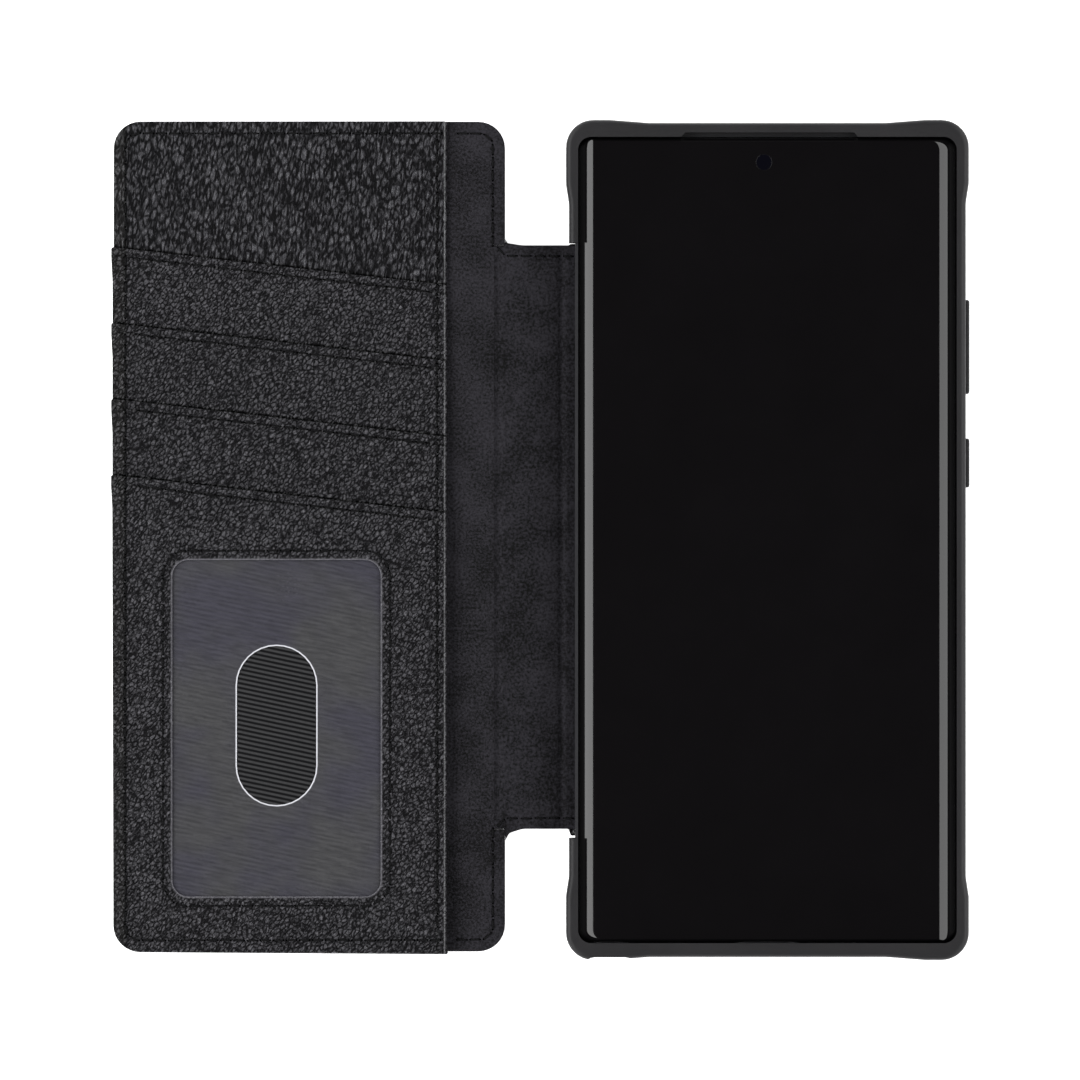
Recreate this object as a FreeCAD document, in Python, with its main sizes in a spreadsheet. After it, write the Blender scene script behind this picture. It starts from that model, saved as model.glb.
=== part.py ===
import FreeCAD, Part
import math
import os

import Sketcher
from FreeCAD import Vector

# A folio wallet case for a large handset, lying open on a table, in millimetres.
# +X runs from the wallet cover to the handset, +Y to the handset's top, +Z up from the table.
# The origin is the middle of the whole case's footprint, at the height of the table.

DIMENSIONS = [
    # the handset that the case is made for, and the room it gets
    ("handset_wide", 77.2, "across the screen"),
    ("handset_long", 164.8, "along the screen"),
    ("handset_thick", 8.1, "back glass to screen"),
    ("handset_corner", 2.5, "corner seen from the front"),
    ("handset_room", 0.2, "gap on each side of the handset"),
    ("camera_x", 65.5, "middle of the camera block"),
    ("camera_y", 46.5, "middle of the camera block"),
    ("camera_wide", 27.0, "camera block"),
    ("camera_long", 55.0, "camera block"),
    ("camera_room", 1.0, "gap around the camera block"),
    ("camera_low", 1.0, "height of the camera block's face"),
    ("lens_radius", 5.0, "one main lens"),
    ("lens_pitch", 14.0, "between main lenses"),
    ("lens_proud", 0.4, "lenses beyond the camera block's face"),
    ("camera_corner", 4.0, "corner of the camera block"),
    ("back_glass", 1.7, "handset's back glass"),
    ("front_glass", 1.9, "handset's screen"),
    ("selfie_x", 45.9, "front camera"),
    ("selfie_y", 77.4, "front camera"),
    ("selfie_radius", 1.6, "front camera"),
    ("selfie_depth", 0.3, "front camera's blind hole"),
    # sheet goods
    ("leather", 0.9, "outer leather"),
    ("lining", 0.4, "microfibre"),
    ("spine_board", 0.4, "stiffener in the spine"),
    ("cover_board", 0.8, "stiffener in the cover"),
    # the hard tray and its rubber bumper
    ("shell_x", 46.6, "middle of the tray"),
    ("tray_wall", 0.6, "hard wall around the handset"),
    ("tray_back", 1.4, "hard back"),
    ("tray_top", 10.9, "height of the hard wall"),
    ("tray_corner", 3.2, "outer corner of the hard wall"),
    ("bay_fillet", 1.45, "inside bottom edge of the tray"),
    ("bumper_side", 1.25, "rubber beyond the tray's long walls"),
    ("bumper_end", 2.25, "rubber beyond the tray's end walls"),
    ("bumper_bulge", 0.62, "how far the corners stand out"),
    ("bumper_corner", 5.6, "corner seen from the front"),
    ("bumper_step_round", 6.0, "where a bulge runs out, seen from the front"),
    ("lip_round", 1.1, "outer edge of the lip"),
    ("foot_round", 1.6, "outer edge of the foot"),
    ("bumper_foot", 0.25, "height of the rubber above the table"),
    ("bumper_top", 11.8, "height of the rubber lip"),
    ("bulge_end_flat", 9.0, "bulge along an end, from the corner"),
    ("bulge_end_slope", 8.0, "slope along an end"),
    ("bulge_side_flat", 13.0, "bulge along a side, from the corner"),
    ("bulge_side_slope", 4.0, "slope along a side"),
    ("notch_top", 61.0, "end of the gap for the spine"),
    ("notch_bottom", -61.2, "end of the gap for the spine"),
    ("back_left", 9.1, "left edge of the back leather, where the fold begins"),
    ("back_margin", 0.8, "back leather in from the tray's edge"),
    ("earpiece_left", 28.9, "recess in the top lip"),
    ("earpiece_right", 65.2, "recess in the top lip"),
    ("earpiece_deep", 0.9, "recess in the top lip"),
    ("earpiece_down", 2.4, "recess below the top of the hard wall"),
    ("liner_gap", 0.15, "liner in from the tray's inside fillet"),
    ("liner_corner", 1.4, "liner"),
    ("bezel_wide", 1.2, "ring around the camera opening"),
    ("port_wide", 13.0, "charging port opening"),
    ("port_low", 3.2, "charging port opening"),
    ("port_high", 8.8, "charging port opening"),
    ("port_corner", 2.4, "corners of the port and stylus openings"),
    ("speaker_x", 61.0, "speaker opening"),
    ("speaker_wide", 12.0, "speaker opening"),
    ("speaker_high", 2.2, "speaker opening"),
    ("stylus_x", 14.3, "stylus opening"),
    ("stylus_wide", 7.4, "stylus opening"),
    ("stylus_scoop", 0.6, "finger scoop beside the stylus"),
    # side keys
    ("volume_y", 39.6, "middle of the volume key"),
    ("volume_long", 19.3, "volume key"),
    ("power_y", 15.8, "middle of the power key"),
    ("power_long", 10.1, "power key"),
    ("key_high", 3.0, "key cap across the case"),
    ("key_z", 6.7, "height of the keys"),
    ("key_face", 88.1, "outer face of the keys"),
    ("key_gap", 0.15, "gap around a key cap"),
    ("key_corner", 0.9, "corners of a key cap and its window"),
    ("flange_corner", 0.5, "corners of a flange and of a foot"),
    ("flange_room_corner", 0.6, "corners of the room for a flange"),
    ("key_flange", 0.4, "thickness of the flange that keeps a key in"),
    ("key_flange_rim", 0.55, "flange beyond the cap"),
    ("key_foot", 0.36, "foot that reaches the handset's key"),
    # folds, spine and cover
    ("tray_fold", 4.555, "soft strip between tray and spine"),
    ("spine_wide", 11.695, "stiff part of the spine"),
    ("cover_fold", 2.3, "soft strip between spine and cover"),
    ("spine_top", 60.6, "spine"),
    ("spine_bottom", -59.4, "spine"),
    ("cover_left", -87.6, "cover"),
    ("cover_right", -7.09, "cover, above and below the spine"),
    ("cover_top", 86.0, "cover"),
    ("cover_bottom", -84.6, "cover"),
    ("cover_corner", 5.5, "cover"),
    ("cover_gap", 0.3, "cover to spine, along Y"),
    ("board_inset", 1.5, "boards in from the edges"),
    ("board_corner", 4.0, "cover board"),
    # the wallet on the cover
    ("wallet_left", -88.1, "folded pocket edges"),
    ("wallet_right", -19.2, "folded edge of the panel"),
    ("wallet_top", 86.05, "panel"),
    ("wallet_bottom", -85.15, "panel"),
    ("cash_back", 0.25, "fabric behind the banknotes"),
    ("cash_inset", 0.2, "fabric in from the cover's edges"),
    ("cash_gap", 0.25, "room for banknotes"),
    ("cash_rim", 2.0, "sewn edge of the banknote pocket"),
    ("panel", 0.5, "leather of the big panel"),
    ("pocket", 0.4, "leather of a card pocket"),
    ("edge_left", 60.2, "first pocket's mouth at its left end"),
    ("edge_drop", 7.8, "fall of a mouth from left to right"),
    ("edge_pitch", 15.6, "from one mouth to the next"),
    ("window_lining", 0.2, "ribbed fabric behind the window"),
    ("film", 0.15, "clear film"),
    ("window_panel", 0.9, "leather around the window, over film and fabric"),
    ("window_x", -54.1, "middle of the window"),
    ("window_y", -38.65, "middle of the window"),
    ("window_wide", 42.8, "window"),
    ("window_long", 69.1, "window"),
    ("window_corner", 3.3, "window"),
    ("film_lap", 3.0, "film and fabric beyond the window"),
    ("thumb_wide", 16.3, "thumb slot"),
    ("thumb_long", 32.7, "thumb slot"),
    ("thumb_y", -38.1, "middle of the thumb slot"),
    # sewing
    ("stitch_pitch", 2.7, "from one stitch to the next"),
    ("stitch_long", 2.0, "thread that shows"),
    ("stitch_wide", 0.45, "thread"),
    ("stitch_high", 0.12, "thread above the leather"),
    ("stitch_inset", 2.45, "seam in from the cover's edge"),
    ("window_seam", 1.9, "seam around the window"),
    ("panel_seam", 1.9, "seam in from the panel's folded edge"),
    ("spine_seam", 2.2, "seam in from the spine's ends"),
    ("hem_seam", 1.7, "seam below a pocket's mouth"),
]

CARD_POCKETS = 3
MAIN_LENSES = 3
SMALL_LENSES = 2

# Heights and edges that follow from the sheet, as expressions of its cells.
BAY_LEFT = "(sizes.shell_x - sizes.handset_wide / 2 - sizes.handset_room)"
BAY_RIGHT = "(sizes.shell_x + sizes.handset_wide / 2 + sizes.handset_room)"
BAY_END = "(sizes.handset_long / 2 + sizes.handset_room)"
BAY_CORNER = "(sizes.handset_corner + sizes.handset_room)"
TRAY_LEFT = "(" + BAY_LEFT + " - sizes.tray_wall)"
TRAY_RIGHT = "(" + BAY_RIGHT + " + sizes.tray_wall)"
TRAY_END = "(" + BAY_END + " + sizes.tray_wall)"
TRAY_FLOOR = "(sizes.leather + sizes.tray_back)"
HANDSET_BACK = "(" + TRAY_FLOOR + " + sizes.lining)"
HANDSET_FACE = "(" + HANDSET_BACK + " + sizes.handset_thick)"
BACK_RIGHT = "(" + TRAY_RIGHT + " - sizes.back_margin)"
BACK_END = "(" + TRAY_END + " - sizes.back_margin)"
CAMERA_ROOM_CORNER = "(sizes.camera_corner + sizes.camera_room)"
BEZEL_CORNER = "(" + CAMERA_ROOM_CORNER + " + sizes.bezel_wide)"
SPINE_RIGHT = "(sizes.back_left - sizes.tray_fold)"
SPINE_LEFT = "(" + SPINE_RIGHT + " - sizes.spine_wide)"
COVER_EDGE = "(" + SPINE_LEFT + " - sizes.cover_fold)"
SPINE_HIGH = "(sizes.leather + sizes.spine_board + sizes.lining)"
COVER_HIGH = "(sizes.leather + sizes.cover_board + sizes.lining)"
CASH_TOP = "(" + COVER_HIGH + " + sizes.cash_back)"
PANEL_TOP = "(" + CASH_TOP + " + sizes.cash_gap + sizes.panel)"
POCKETS_TOP = "(" + PANEL_TOP + " + 3 * sizes.pocket)"
WINDOW_FLOOR = "(" + POCKETS_TOP + " + sizes.window_lining)"
WALLET_HIGH = "(" + POCKETS_TOP + " + sizes.window_panel)"

document = FreeCAD.newDocument("wallet_case")
sheet = document.addObject("Spreadsheet::Sheet", "sizes")
for row, (alias, value, meaning) in enumerate(DIMENSIONS, start=1):
    sheet.set("A%d" % row, meaning)
    sheet.set("B%d" % row, str(value))
    sheet.setAlias("B%d" % row, alias)
document.recompute()


def amount(expression):
    """The number that an expression of sheet cells comes to."""
    return float(sheet.evalExpression(str(expression)))


def plane(body, role):
    """One of a body's own origin planes."""
    return [feature for feature in body.Origin.OriginFeatures if feature.Role == role][0]


def new_body(label):
    body = document.addObject("PartDesign::Body", label)
    body.Label = label
    return body


def new_sketch(body, name, height, role="XY_Plane"):
    """An empty sketch on one of the body's origin planes, moved along the plane's normal."""
    sketch = body.newObject("Sketcher::SketchObject", name)
    sketch.AttachmentSupport = [(plane(body, role), "")]
    sketch.MapMode = "FlatFace"
    sketch.setExpression("AttachmentOffset.Base.z", str(height))
    return sketch


def bind(sketch, kind, geometry, expression):
    """A dimension on a line's start point or on an arc, tied to the sheet."""
    value = amount(expression)
    if kind == "Radius":
        constraint = Sketcher.Constraint(kind, geometry, value)
    else:
        constraint = Sketcher.Constraint(kind, -1, 1, geometry, 1, value)
    index = sketch.addConstraint(constraint)
    sketch.setExpression("Constraints[%d]" % index, str(expression))


def draw_polygon(sketch, corners):
    """A closed polygon with both coordinates of each corner tied to the sheet."""
    points = [Vector(amount(x), amount(y), 0) for x, y in corners]
    following = points[1:] + points[:1]
    for start, end in zip(points, following):
        sketch.addGeometry(Part.LineSegment(start, end), False)
    for index in range(len(points)):
        sketch.addConstraint(Sketcher.Constraint("Coincident", index, 2, (index + 1) % len(points), 1))
    for index, (x, y) in enumerate(corners):
        bind(sketch, "DistanceX", index, x)
        bind(sketch, "DistanceY", index, y)


def draw_rounded(sketch, left, right, bottom, top, radius):
    """A rectangle with rounded corners: four lines, four tangent arcs, five dimensions."""
    x0, x1, y0, y1, r = (amount(value) for value in (left, right, bottom, top, radius))
    lines = [
        (Vector(x0 + r, y0, 0), Vector(x1 - r, y0, 0)),
        (Vector(x1, y0 + r, 0), Vector(x1, y1 - r, 0)),
        (Vector(x1 - r, y1, 0), Vector(x0 + r, y1, 0)),
        (Vector(x0, y1 - r, 0), Vector(x0, y0 + r, 0)),
    ]
    centres = [(x1 - r, y0 + r), (x1 - r, y1 - r), (x0 + r, y1 - r), (x0 + r, y0 + r)]
    for start, end in lines:
        sketch.addGeometry(Part.LineSegment(start, end), False)
    for quarter, (x, y) in enumerate(centres):
        circle = Part.Circle(Vector(x, y, 0), Vector(0, 0, 1), r)
        first = (quarter - 1) * math.pi / 2
        sketch.addGeometry(Part.ArcOfCircle(circle, first, first + math.pi / 2), False)
    for side in range(4):
        arc = side + 4
        sketch.addConstraint(Sketcher.Constraint("Tangent", side, 2, arc, 1))
        sketch.addConstraint(Sketcher.Constraint("Tangent", arc, 2, (side + 1) % 4, 1))
        direction = "Horizontal" if side % 2 == 0 else "Vertical"
        sketch.addConstraint(Sketcher.Constraint(direction, side))
    for arc in (5, 6, 7):
        sketch.addConstraint(Sketcher.Constraint("Equal", 4, arc))
    bind(sketch, "DistanceY", 0, bottom)
    bind(sketch, "DistanceX", 1, right)
    bind(sketch, "DistanceY", 2, top)
    bind(sketch, "DistanceX", 3, left)
    bind(sketch, "Radius", 4, radius)


def pad(body, sketch, thickness):
    feature = body.newObject("PartDesign::Pad", sketch.Name + "_pad")
    feature.Profile = sketch
    feature.setExpression("Length", str(thickness))
    sketch.Visibility = False
    document.recompute()
    return feature


def pocket(body, sketch, depth, along_normal=True):
    """Cuts from the sketch, along its normal or against it, and makes sure that it cut."""
    before = body.Shape.Volume
    feature = body.newObject("PartDesign::Pocket", sketch.Name + "_pocket")
    feature.Profile = sketch
    feature.Reversed = along_normal
    feature.setExpression("Length", str(depth))
    sketch.Visibility = False
    document.recompute()
    if body.Shape.Volume > before - 1e-6:
        raise ValueError(sketch.Name + " cut nothing")
    return feature


def fillet(body, name, radius, chosen):
    """Rounds the edges of the body's tip that chosen(edge) picks."""
    tip = body.Tip
    names = ["Edge%d" % number for number, edge in enumerate(tip.Shape.Edges, start=1) if chosen(edge)]
    feature = body.newObject("PartDesign::Fillet", name)
    feature.Base = (tip, names)
    feature.setExpression("Radius", str(radius))
    document.recompute()
    return feature


def upright_at(places):
    """Picks the upright edges that stand on any of the places."""
    spots = [(amount(x), amount(y)) for x, y in places]

    def chosen(edge):
        box = edge.BoundBox
        if box.ZLength < 0.05 or box.XLength > 1e-4 or box.YLength > 1e-4:
            return False
        return any(math.hypot(box.Center.x - x, box.Center.y - y) < 0.01 for x, y in spots)

    return chosen


def level_at(height):
    """Picks every edge that lies at one height."""
    level = amount(height)
    return lambda edge: edge.BoundBox.ZLength < 1e-4 and abs(edge.BoundBox.Center.z - level) < 1e-4


def slab(label, corners, bottom, thickness):
    """A flat piece with straight edges."""
    body = new_body(label)
    outline = new_sketch(body, label + "_outline", bottom)
    draw_polygon(outline, corners)
    pad(body, outline, thickness)
    return body


def rounded_slab(label, left, right, low, high, radius, bottom, thickness):
    """A flat piece with four rounded corners."""
    body = new_body(label)
    outline = new_sketch(body, label + "_outline", bottom)
    draw_rounded(outline, left, right, low, high, radius)
    pad(body, outline, thickness)
    return body


def cut_rounded(body, name, left, right, low, high, radius, start, depth):
    """A rounded opening, cut upwards from a height."""
    sketch = new_sketch(body, name, start)
    draw_rounded(sketch, left, right, low, high, radius)
    pocket(body, sketch, depth)


def cut_end_wall(body, name, left, right, low, high, radius):
    """A rounded opening through the wall at the handset's lower end, seen along Y."""
    outside = "(" + TRAY_END + " + 2 * sizes.bumper_end)"
    sketch = new_sketch(body, name, outside, "XZ_Plane")
    draw_rounded(sketch, left, right, low, high, radius)
    pocket(body, sketch, outside + " - " + BAY_END + " + sizes.handset_room / 2", along_normal=False)


def cut_side_wall(body, name, middle, long, high, radius, start, depth):
    """A rounded opening through the right-hand wall, seen along X."""
    sketch = new_sketch(body, name, start, "YZ_Plane")
    half_long = "(" + long + ") / 2"
    half_high = "(" + high + ") / 2"
    draw_rounded(
        sketch,
        middle + " - " + half_long,
        middle + " + " + half_long,
        "sizes.key_z - " + half_high,
        "sizes.key_z + " + half_high,
        radius,
    )
    pocket(body, sketch, depth, along_normal=False)


def rectangle(left, right, low, high):
    return [(left, low), (right, low), (right, high), (left, high)]


KEYS = {
    "volume": ("sizes.volume_y", "sizes.volume_long"),
    "power": ("sizes.power_y", "sizes.power_long"),
}
FLANGE_ROOM = "(2 * sizes.key_flange_rim + 2 * sizes.key_gap)"


def end_openings(body, prefix):
    """Charging port, speaker and stylus openings in the lower end wall."""
    port = "sizes.port_wide / 2"
    cut_end_wall(
        body,
        prefix + "_port",
        "sizes.shell_x - " + port,
        "sizes.shell_x + " + port,
        "sizes.port_low",
        "sizes.port_high",
        "sizes.port_corner",
    )
    speaker = "sizes.speaker_wide / 2"
    middle = "(sizes.port_low + sizes.port_high) / 2"
    cut_end_wall(
        body,
        prefix + "_speaker",
        "sizes.speaker_x - " + speaker,
        "sizes.speaker_x + " + speaker,
        middle + " - sizes.speaker_high / 2",
        middle + " + sizes.speaker_high / 2",
        "sizes.speaker_high * 0.45",
    )
    stylus = "sizes.stylus_wide / 2"
    cut_end_wall(
        body,
        prefix + "_stylus",
        "sizes.stylus_x - " + stylus,
        "sizes.stylus_x + " + stylus,
        "sizes.port_low",
        "sizes.port_high",
        "sizes.port_corner",
    )


def make_hard_tray():
    """The hard shell that holds the handset, open at the top, cut back where the spine folds round it."""
    body = rounded_slab(
        "hard_tray",
        TRAY_LEFT,
        TRAY_RIGHT,
        "-" + TRAY_END,
        TRAY_END,
        "sizes.tray_corner",
        "sizes.leather",
        "sizes.tray_top - sizes.leather",
    )
    cut_rounded(
        body, "bay", BAY_LEFT, BAY_RIGHT, "-" + BAY_END, BAY_END, BAY_CORNER, TRAY_FLOOR, "sizes.tray_top"
    )
    fillet(body, "bay_fillet", "sizes.bay_fillet", level_at(TRAY_FLOOR))
    make_fold_clearance(body)
    edges = camera_edges("sizes.camera_room + sizes.bezel_wide")
    cut_rounded(body, "tray_camera_opening", *edges, BEZEL_CORNER, 0.5, "sizes.tray_back + 1")
    cut_earpiece_recess(body, "tray")
    end_openings(body, "tray")
    for key, (middle, length) in KEYS.items():
        cut_side_wall(
            body,
            "tray_" + key,
            middle,
            length + " + " + FLANGE_ROOM,
            "sizes.key_high + " + FLANGE_ROOM,
            "sizes.flange_room_corner",
            TRAY_RIGHT + " + 1",
            "sizes.tray_wall + 1.1",
        )
    return body


def cut_earpiece_recess(body, owner):
    """A recess across the middle of the top end, so that the handset's earpiece stays open."""
    recess = new_sketch(body, owner + "_earpiece_recess", "sizes.tray_top - sizes.earpiece_down")
    lip = BAY_END + " - 1"
    deep = BAY_END + " + sizes.earpiece_deep"
    draw_polygon(
        recess,
        [
            ("sizes.earpiece_left", lip),
            ("sizes.earpiece_right", lip),
            ("sizes.earpiece_right", BAY_END),
            ("sizes.earpiece_right - sizes.earpiece_deep", deep),
            ("sizes.earpiece_left + sizes.earpiece_deep", deep),
            ("sizes.earpiece_left", BAY_END),
        ],
    )
    pocket(body, recess, "sizes.bumper_top - sizes.tray_top + sizes.earpiece_down + 1")


def make_fold_clearance(body):
    """Rounds the tray's lower left edge between the notch's ends, so the closed spine lies around it."""
    sketch = new_sketch(body, "fold_clearance", "-sizes.notch_bottom", "XZ_Plane")
    wall = amount(TRAY_LEFT)
    fold = amount("sizes.back_left")
    bend = fold - wall
    centre_z = amount(TRAY_FLOOR + " + sizes.bay_fillet")
    under = amount("sizes.leather") - 1
    out = wall - 2
    points = [(wall, centre_z), (out, centre_z), (out, under), (fold, under), (fold, centre_z - bend)]
    for start, end in zip(points, points[1:]):
        sketch.addGeometry(Part.LineSegment(Vector(*start, 0), Vector(*end, 0)), False)
    circle = Part.Circle(Vector(fold, centre_z, 0), Vector(0, 0, 1), bend)
    sketch.addGeometry(Part.ArcOfCircle(circle, math.pi, math.pi * 1.5), False)
    for line in range(3):
        sketch.addConstraint(Sketcher.Constraint("Coincident", line, 2, line + 1, 1))
    sketch.addConstraint(Sketcher.Constraint("Coincident", 3, 2, 4, 2))
    sketch.addConstraint(Sketcher.Constraint("Coincident", 0, 1, 4, 1))
    pocket(body, sketch, "sizes.notch_top - sizes.notch_bottom", along_normal=False)


def bumper_outline():
    """The rubber's outline: straight sides that step out to fuller corners over a short slope."""
    side = "(sizes.handset_wide / 2 + sizes.handset_room + sizes.tray_wall + sizes.bumper_side)"
    end = "(" + TRAY_END + " + sizes.bumper_end)"
    full_side = "(" + side + " + sizes.bumper_bulge)"
    full_end = "(" + end + " + sizes.bumper_bulge)"
    side_flat = "(" + full_end + " - sizes.bulge_side_flat)"
    side_slope = "(" + side_flat + " - sizes.bulge_side_slope)"
    end_flat = "(" + full_side + " - sizes.bulge_end_flat)"
    end_slope = "(" + end_flat + " - sizes.bulge_end_slope)"
    corner = [
        (side, side_slope),
        (full_side, side_flat),
        (full_side, full_end),
        (end_flat, full_end),
        (end_slope, end),
    ]

    def place(x, y, across, up):
        return ("sizes.shell_x + %d * %s" % (across, x), "%d * %s" % (up, y))

    upper_right = [place(x, y, 1, 1) for x, y in corner]
    upper_left = [place(x, y, -1, 1) for x, y in reversed(corner)]
    lower_left = [place(x, y, -1, -1) for x, y in corner]
    lower_right = [place(x, y, 1, -1) for x, y in reversed(corner)]
    return upper_right + upper_left + lower_left + lower_right


def make_bumper():
    """The rubber frame around the tray, with a lip over its wall and a gap for the spine."""
    outline = bumper_outline()
    body = slab("bumper_frame", outline, "sizes.bumper_foot", "sizes.bumper_top - sizes.bumper_foot")
    corners = outline[2::5]
    steps = [place for index, place in enumerate(outline) if index % 5 != 2]
    fillet(body, "bumper_corners", "sizes.bumper_corner", upright_at(corners))
    fillet(body, "bumper_steps", "sizes.bumper_step_round", upright_at(steps))
    fillet(body, "bumper_lip_round", "sizes.lip_round", level_at("sizes.bumper_top"))
    fillet(body, "bumper_foot_round", "sizes.foot_round", level_at("sizes.bumper_foot"))
    cut_rounded(
        body,
        "tray_seat",
        TRAY_LEFT,
        TRAY_RIGHT,
        "-" + TRAY_END,
        TRAY_END,
        "sizes.tray_corner",
        "sizes.leather",
        "sizes.tray_top - sizes.leather",
    )
    cut_rounded(
        body,
        "lip_opening",
        BAY_LEFT,
        BAY_RIGHT,
        "-" + BAY_END,
        BAY_END,
        BAY_CORNER,
        "sizes.tray_top - 1",
        "sizes.bumper_top - sizes.tray_top + 2",
    )
    cut_rounded(
        body,
        "back_opening",
        "sizes.back_left",
        BACK_RIGHT,
        "-" + BACK_END,
        BACK_END,
        "sizes.tray_corner",
        "sizes.bumper_foot - 1",
        "sizes.leather - sizes.bumper_foot + 1",
    )
    notch = new_sketch(body, "spine_notch", "sizes.bumper_foot - 1")
    outside = TRAY_LEFT + " - 3 * sizes.bumper_side"
    draw_polygon(notch, rectangle(outside, "sizes.back_left", "sizes.notch_bottom", "sizes.notch_top"))
    pocket(body, notch, "sizes.bumper_top + 2")
    cut_earpiece_recess(body, "bumper")
    end_openings(body, "bumper")
    make_stylus_scoop(body)
    make_key_windows(body)
    return body


def make_stylus_scoop(body):
    """A shallow scoop in the rubber's outer face below the stylus opening."""
    scoop = new_sketch(body, "stylus_scoop", "sizes.bumper_foot - 1")
    face = "-(" + TRAY_END + " + sizes.bumper_end + sizes.bumper_bulge)"
    half = "sizes.stylus_wide / 2"
    right = []
    left = []
    for out, deep in [(2.0, -1.0), (0.9, 0.0), (0.2, 0.75), (-0.6, 1.0)]:
        edge = half + " + %g" % out
        y = face + " + %g * sizes.stylus_scoop" % deep
        right.append(("sizes.stylus_x + " + edge, y))
        left.append(("sizes.stylus_x - (" + edge + ")", y))
    draw_polygon(scoop, right + left[::-1])
    pocket(body, scoop, "sizes.bumper_top + 2")


def make_key_windows(body):
    """A window for each key cap, with a wider recess behind it for the flange."""
    outside = TRAY_RIGHT + " + 2 * sizes.bumper_side"
    for key, (middle, length) in KEYS.items():
        cut_side_wall(
            body,
            "window_" + key,
            middle,
            length + " + 2 * sizes.key_gap",
            "sizes.key_high + 2 * sizes.key_gap",
            "sizes.key_corner",
            outside,
            "2 * sizes.bumper_side + 0.1",
        )
        cut_side_wall(
            body,
            "recess_" + key,
            middle,
            length + " + " + FLANGE_ROOM,
            "sizes.key_high + " + FLANGE_ROOM,
            "sizes.flange_room_corner",
            TRAY_RIGHT + " + sizes.key_flange + 0.05",
            "sizes.key_flange + 0.06",
        )


def make_key(label, middle, length):
    """A key cap with the flange that keeps it in and the foot that reaches the handset's key."""
    body = new_body(label)
    flange_face = TRAY_RIGHT + " + sizes.key_flange - 0.02"
    layers = [
        (
            "flange",
            length + " + 2 * sizes.key_flange_rim",
            "sizes.key_high + 2 * sizes.key_flange_rim",
            "sizes.flange_corner",
            flange_face + " - sizes.key_flange",
            "sizes.key_flange",
        ),
        (
            "cap",
            length,
            "sizes.key_high",
            "sizes.key_corner",
            flange_face,
            "sizes.key_face - (" + flange_face + ")",
        ),
        (
            "foot",
            length + " * 0.6",
            "sizes.key_high * 0.5",
            "sizes.flange_corner",
            flange_face + " - sizes.key_flange - sizes.key_foot",
            "sizes.key_foot",
        ),
    ]
    for name, long, high, radius, start, thickness in layers:
        sketch = new_sketch(body, label + "_" + name, start, "YZ_Plane")
        half_long = "(" + long + ") / 2"
        half_high = "(" + high + ") / 2"
        draw_rounded(
            sketch,
            middle + " - " + half_long,
            middle + " + " + half_long,
            "sizes.key_z - " + half_high,
            "sizes.key_z + " + half_high,
            radius,
        )
        pad(body, sketch, thickness)
    face = amount("sizes.key_face")

    def on_face(edge):
        return edge.BoundBox.XLength < 1e-4 and abs(edge.BoundBox.Center.x - face) < 1e-4

    fillet(body, label + "_round", 0.45, on_face)
    return body


def camera_edges(extra):
    """Left, right, low and high edges of an opening around the camera block."""
    wide = "(sizes.camera_wide / 2 + " + extra + ")"
    long = "(sizes.camera_long / 2 + " + extra + ")"
    return (
        "sizes.camera_x - " + wide,
        "sizes.camera_x + " + wide,
        "sizes.camera_y - " + long,
        "sizes.camera_y + " + long,
    )


def make_tray_liner():
    """The soft lining glued inside the tray, under the handset."""
    inset = "(sizes.bay_fillet + sizes.liner_gap)"
    body = rounded_slab(
        "tray_liner",
        BAY_LEFT + " + " + inset,
        BAY_RIGHT + " - " + inset,
        "-" + BAY_END + " + " + inset,
        BAY_END + " - " + inset,
        "sizes.liner_corner",
        TRAY_FLOOR,
        "sizes.lining",
    )
    opening = camera_edges("sizes.camera_room")
    cut_rounded(body, "liner_camera_opening", *opening, CAMERA_ROOM_CORNER, TRAY_FLOOR + " - 1", 3)
    return body


def make_back_leather():
    """The leather on the tray's back. It runs on round the fold into the spine."""
    body = rounded_slab(
        "back_leather",
        "sizes.back_left",
        BACK_RIGHT,
        "-" + BACK_END,
        BACK_END,
        "sizes.tray_corner",
        0,
        "sizes.leather",
    )
    edges = camera_edges("sizes.camera_room + sizes.bezel_wide")
    cut_rounded(body, "leather_camera_opening", *edges, BEZEL_CORNER, -1, "sizes.leather + 2")
    return body


def make_camera_bezel():
    """The ring that covers the cut edge of the leather around the camera opening."""
    outer = camera_edges("sizes.camera_room + sizes.bezel_wide")
    body = rounded_slab("camera_bezel", *outer, BEZEL_CORNER, 0.15, TRAY_FLOOR + " - 0.15")
    cut_rounded(body, "bezel_opening", *camera_edges("sizes.camera_room"), CAMERA_ROOM_CORNER, -1, 5)
    return body


def make_spine():
    """Leather outside, board in the middle, lining inside and round the board's edges."""
    area = rectangle(SPINE_LEFT, SPINE_RIGHT, "sizes.spine_bottom", "sizes.spine_top")
    inset = rectangle(
        SPINE_LEFT + " + 0.6",
        SPINE_RIGHT + " - 0.6",
        "sizes.spine_bottom + sizes.board_inset",
        "sizes.spine_top - sizes.board_inset",
    )
    slab("spine_leather", area, 0, "sizes.leather")
    slab("spine_board", inset, "sizes.leather", "sizes.spine_board")
    lining = slab("spine_lining", area, "sizes.leather", SPINE_HIGH + " - sizes.leather")
    seat = new_sketch(lining, "spine_board_seat", "sizes.leather")
    draw_polygon(seat, inset)
    pocket(lining, seat, "sizes.spine_board")


def make_folds():
    """The soft strips of leather and lining on each side of the spine."""
    folds = {"tray_fold": (SPINE_RIGHT, "sizes.back_left"), "cover_fold": (COVER_EDGE, SPINE_LEFT)}
    for name, (left, right) in folds.items():
        area = rectangle(left, right, "sizes.spine_bottom", "sizes.spine_top")
        slab(name + "_leather", area, 0, "sizes.leather")
        slab(name + "_lining", area, "sizes.leather", SPINE_HIGH + " - sizes.leather")


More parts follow.
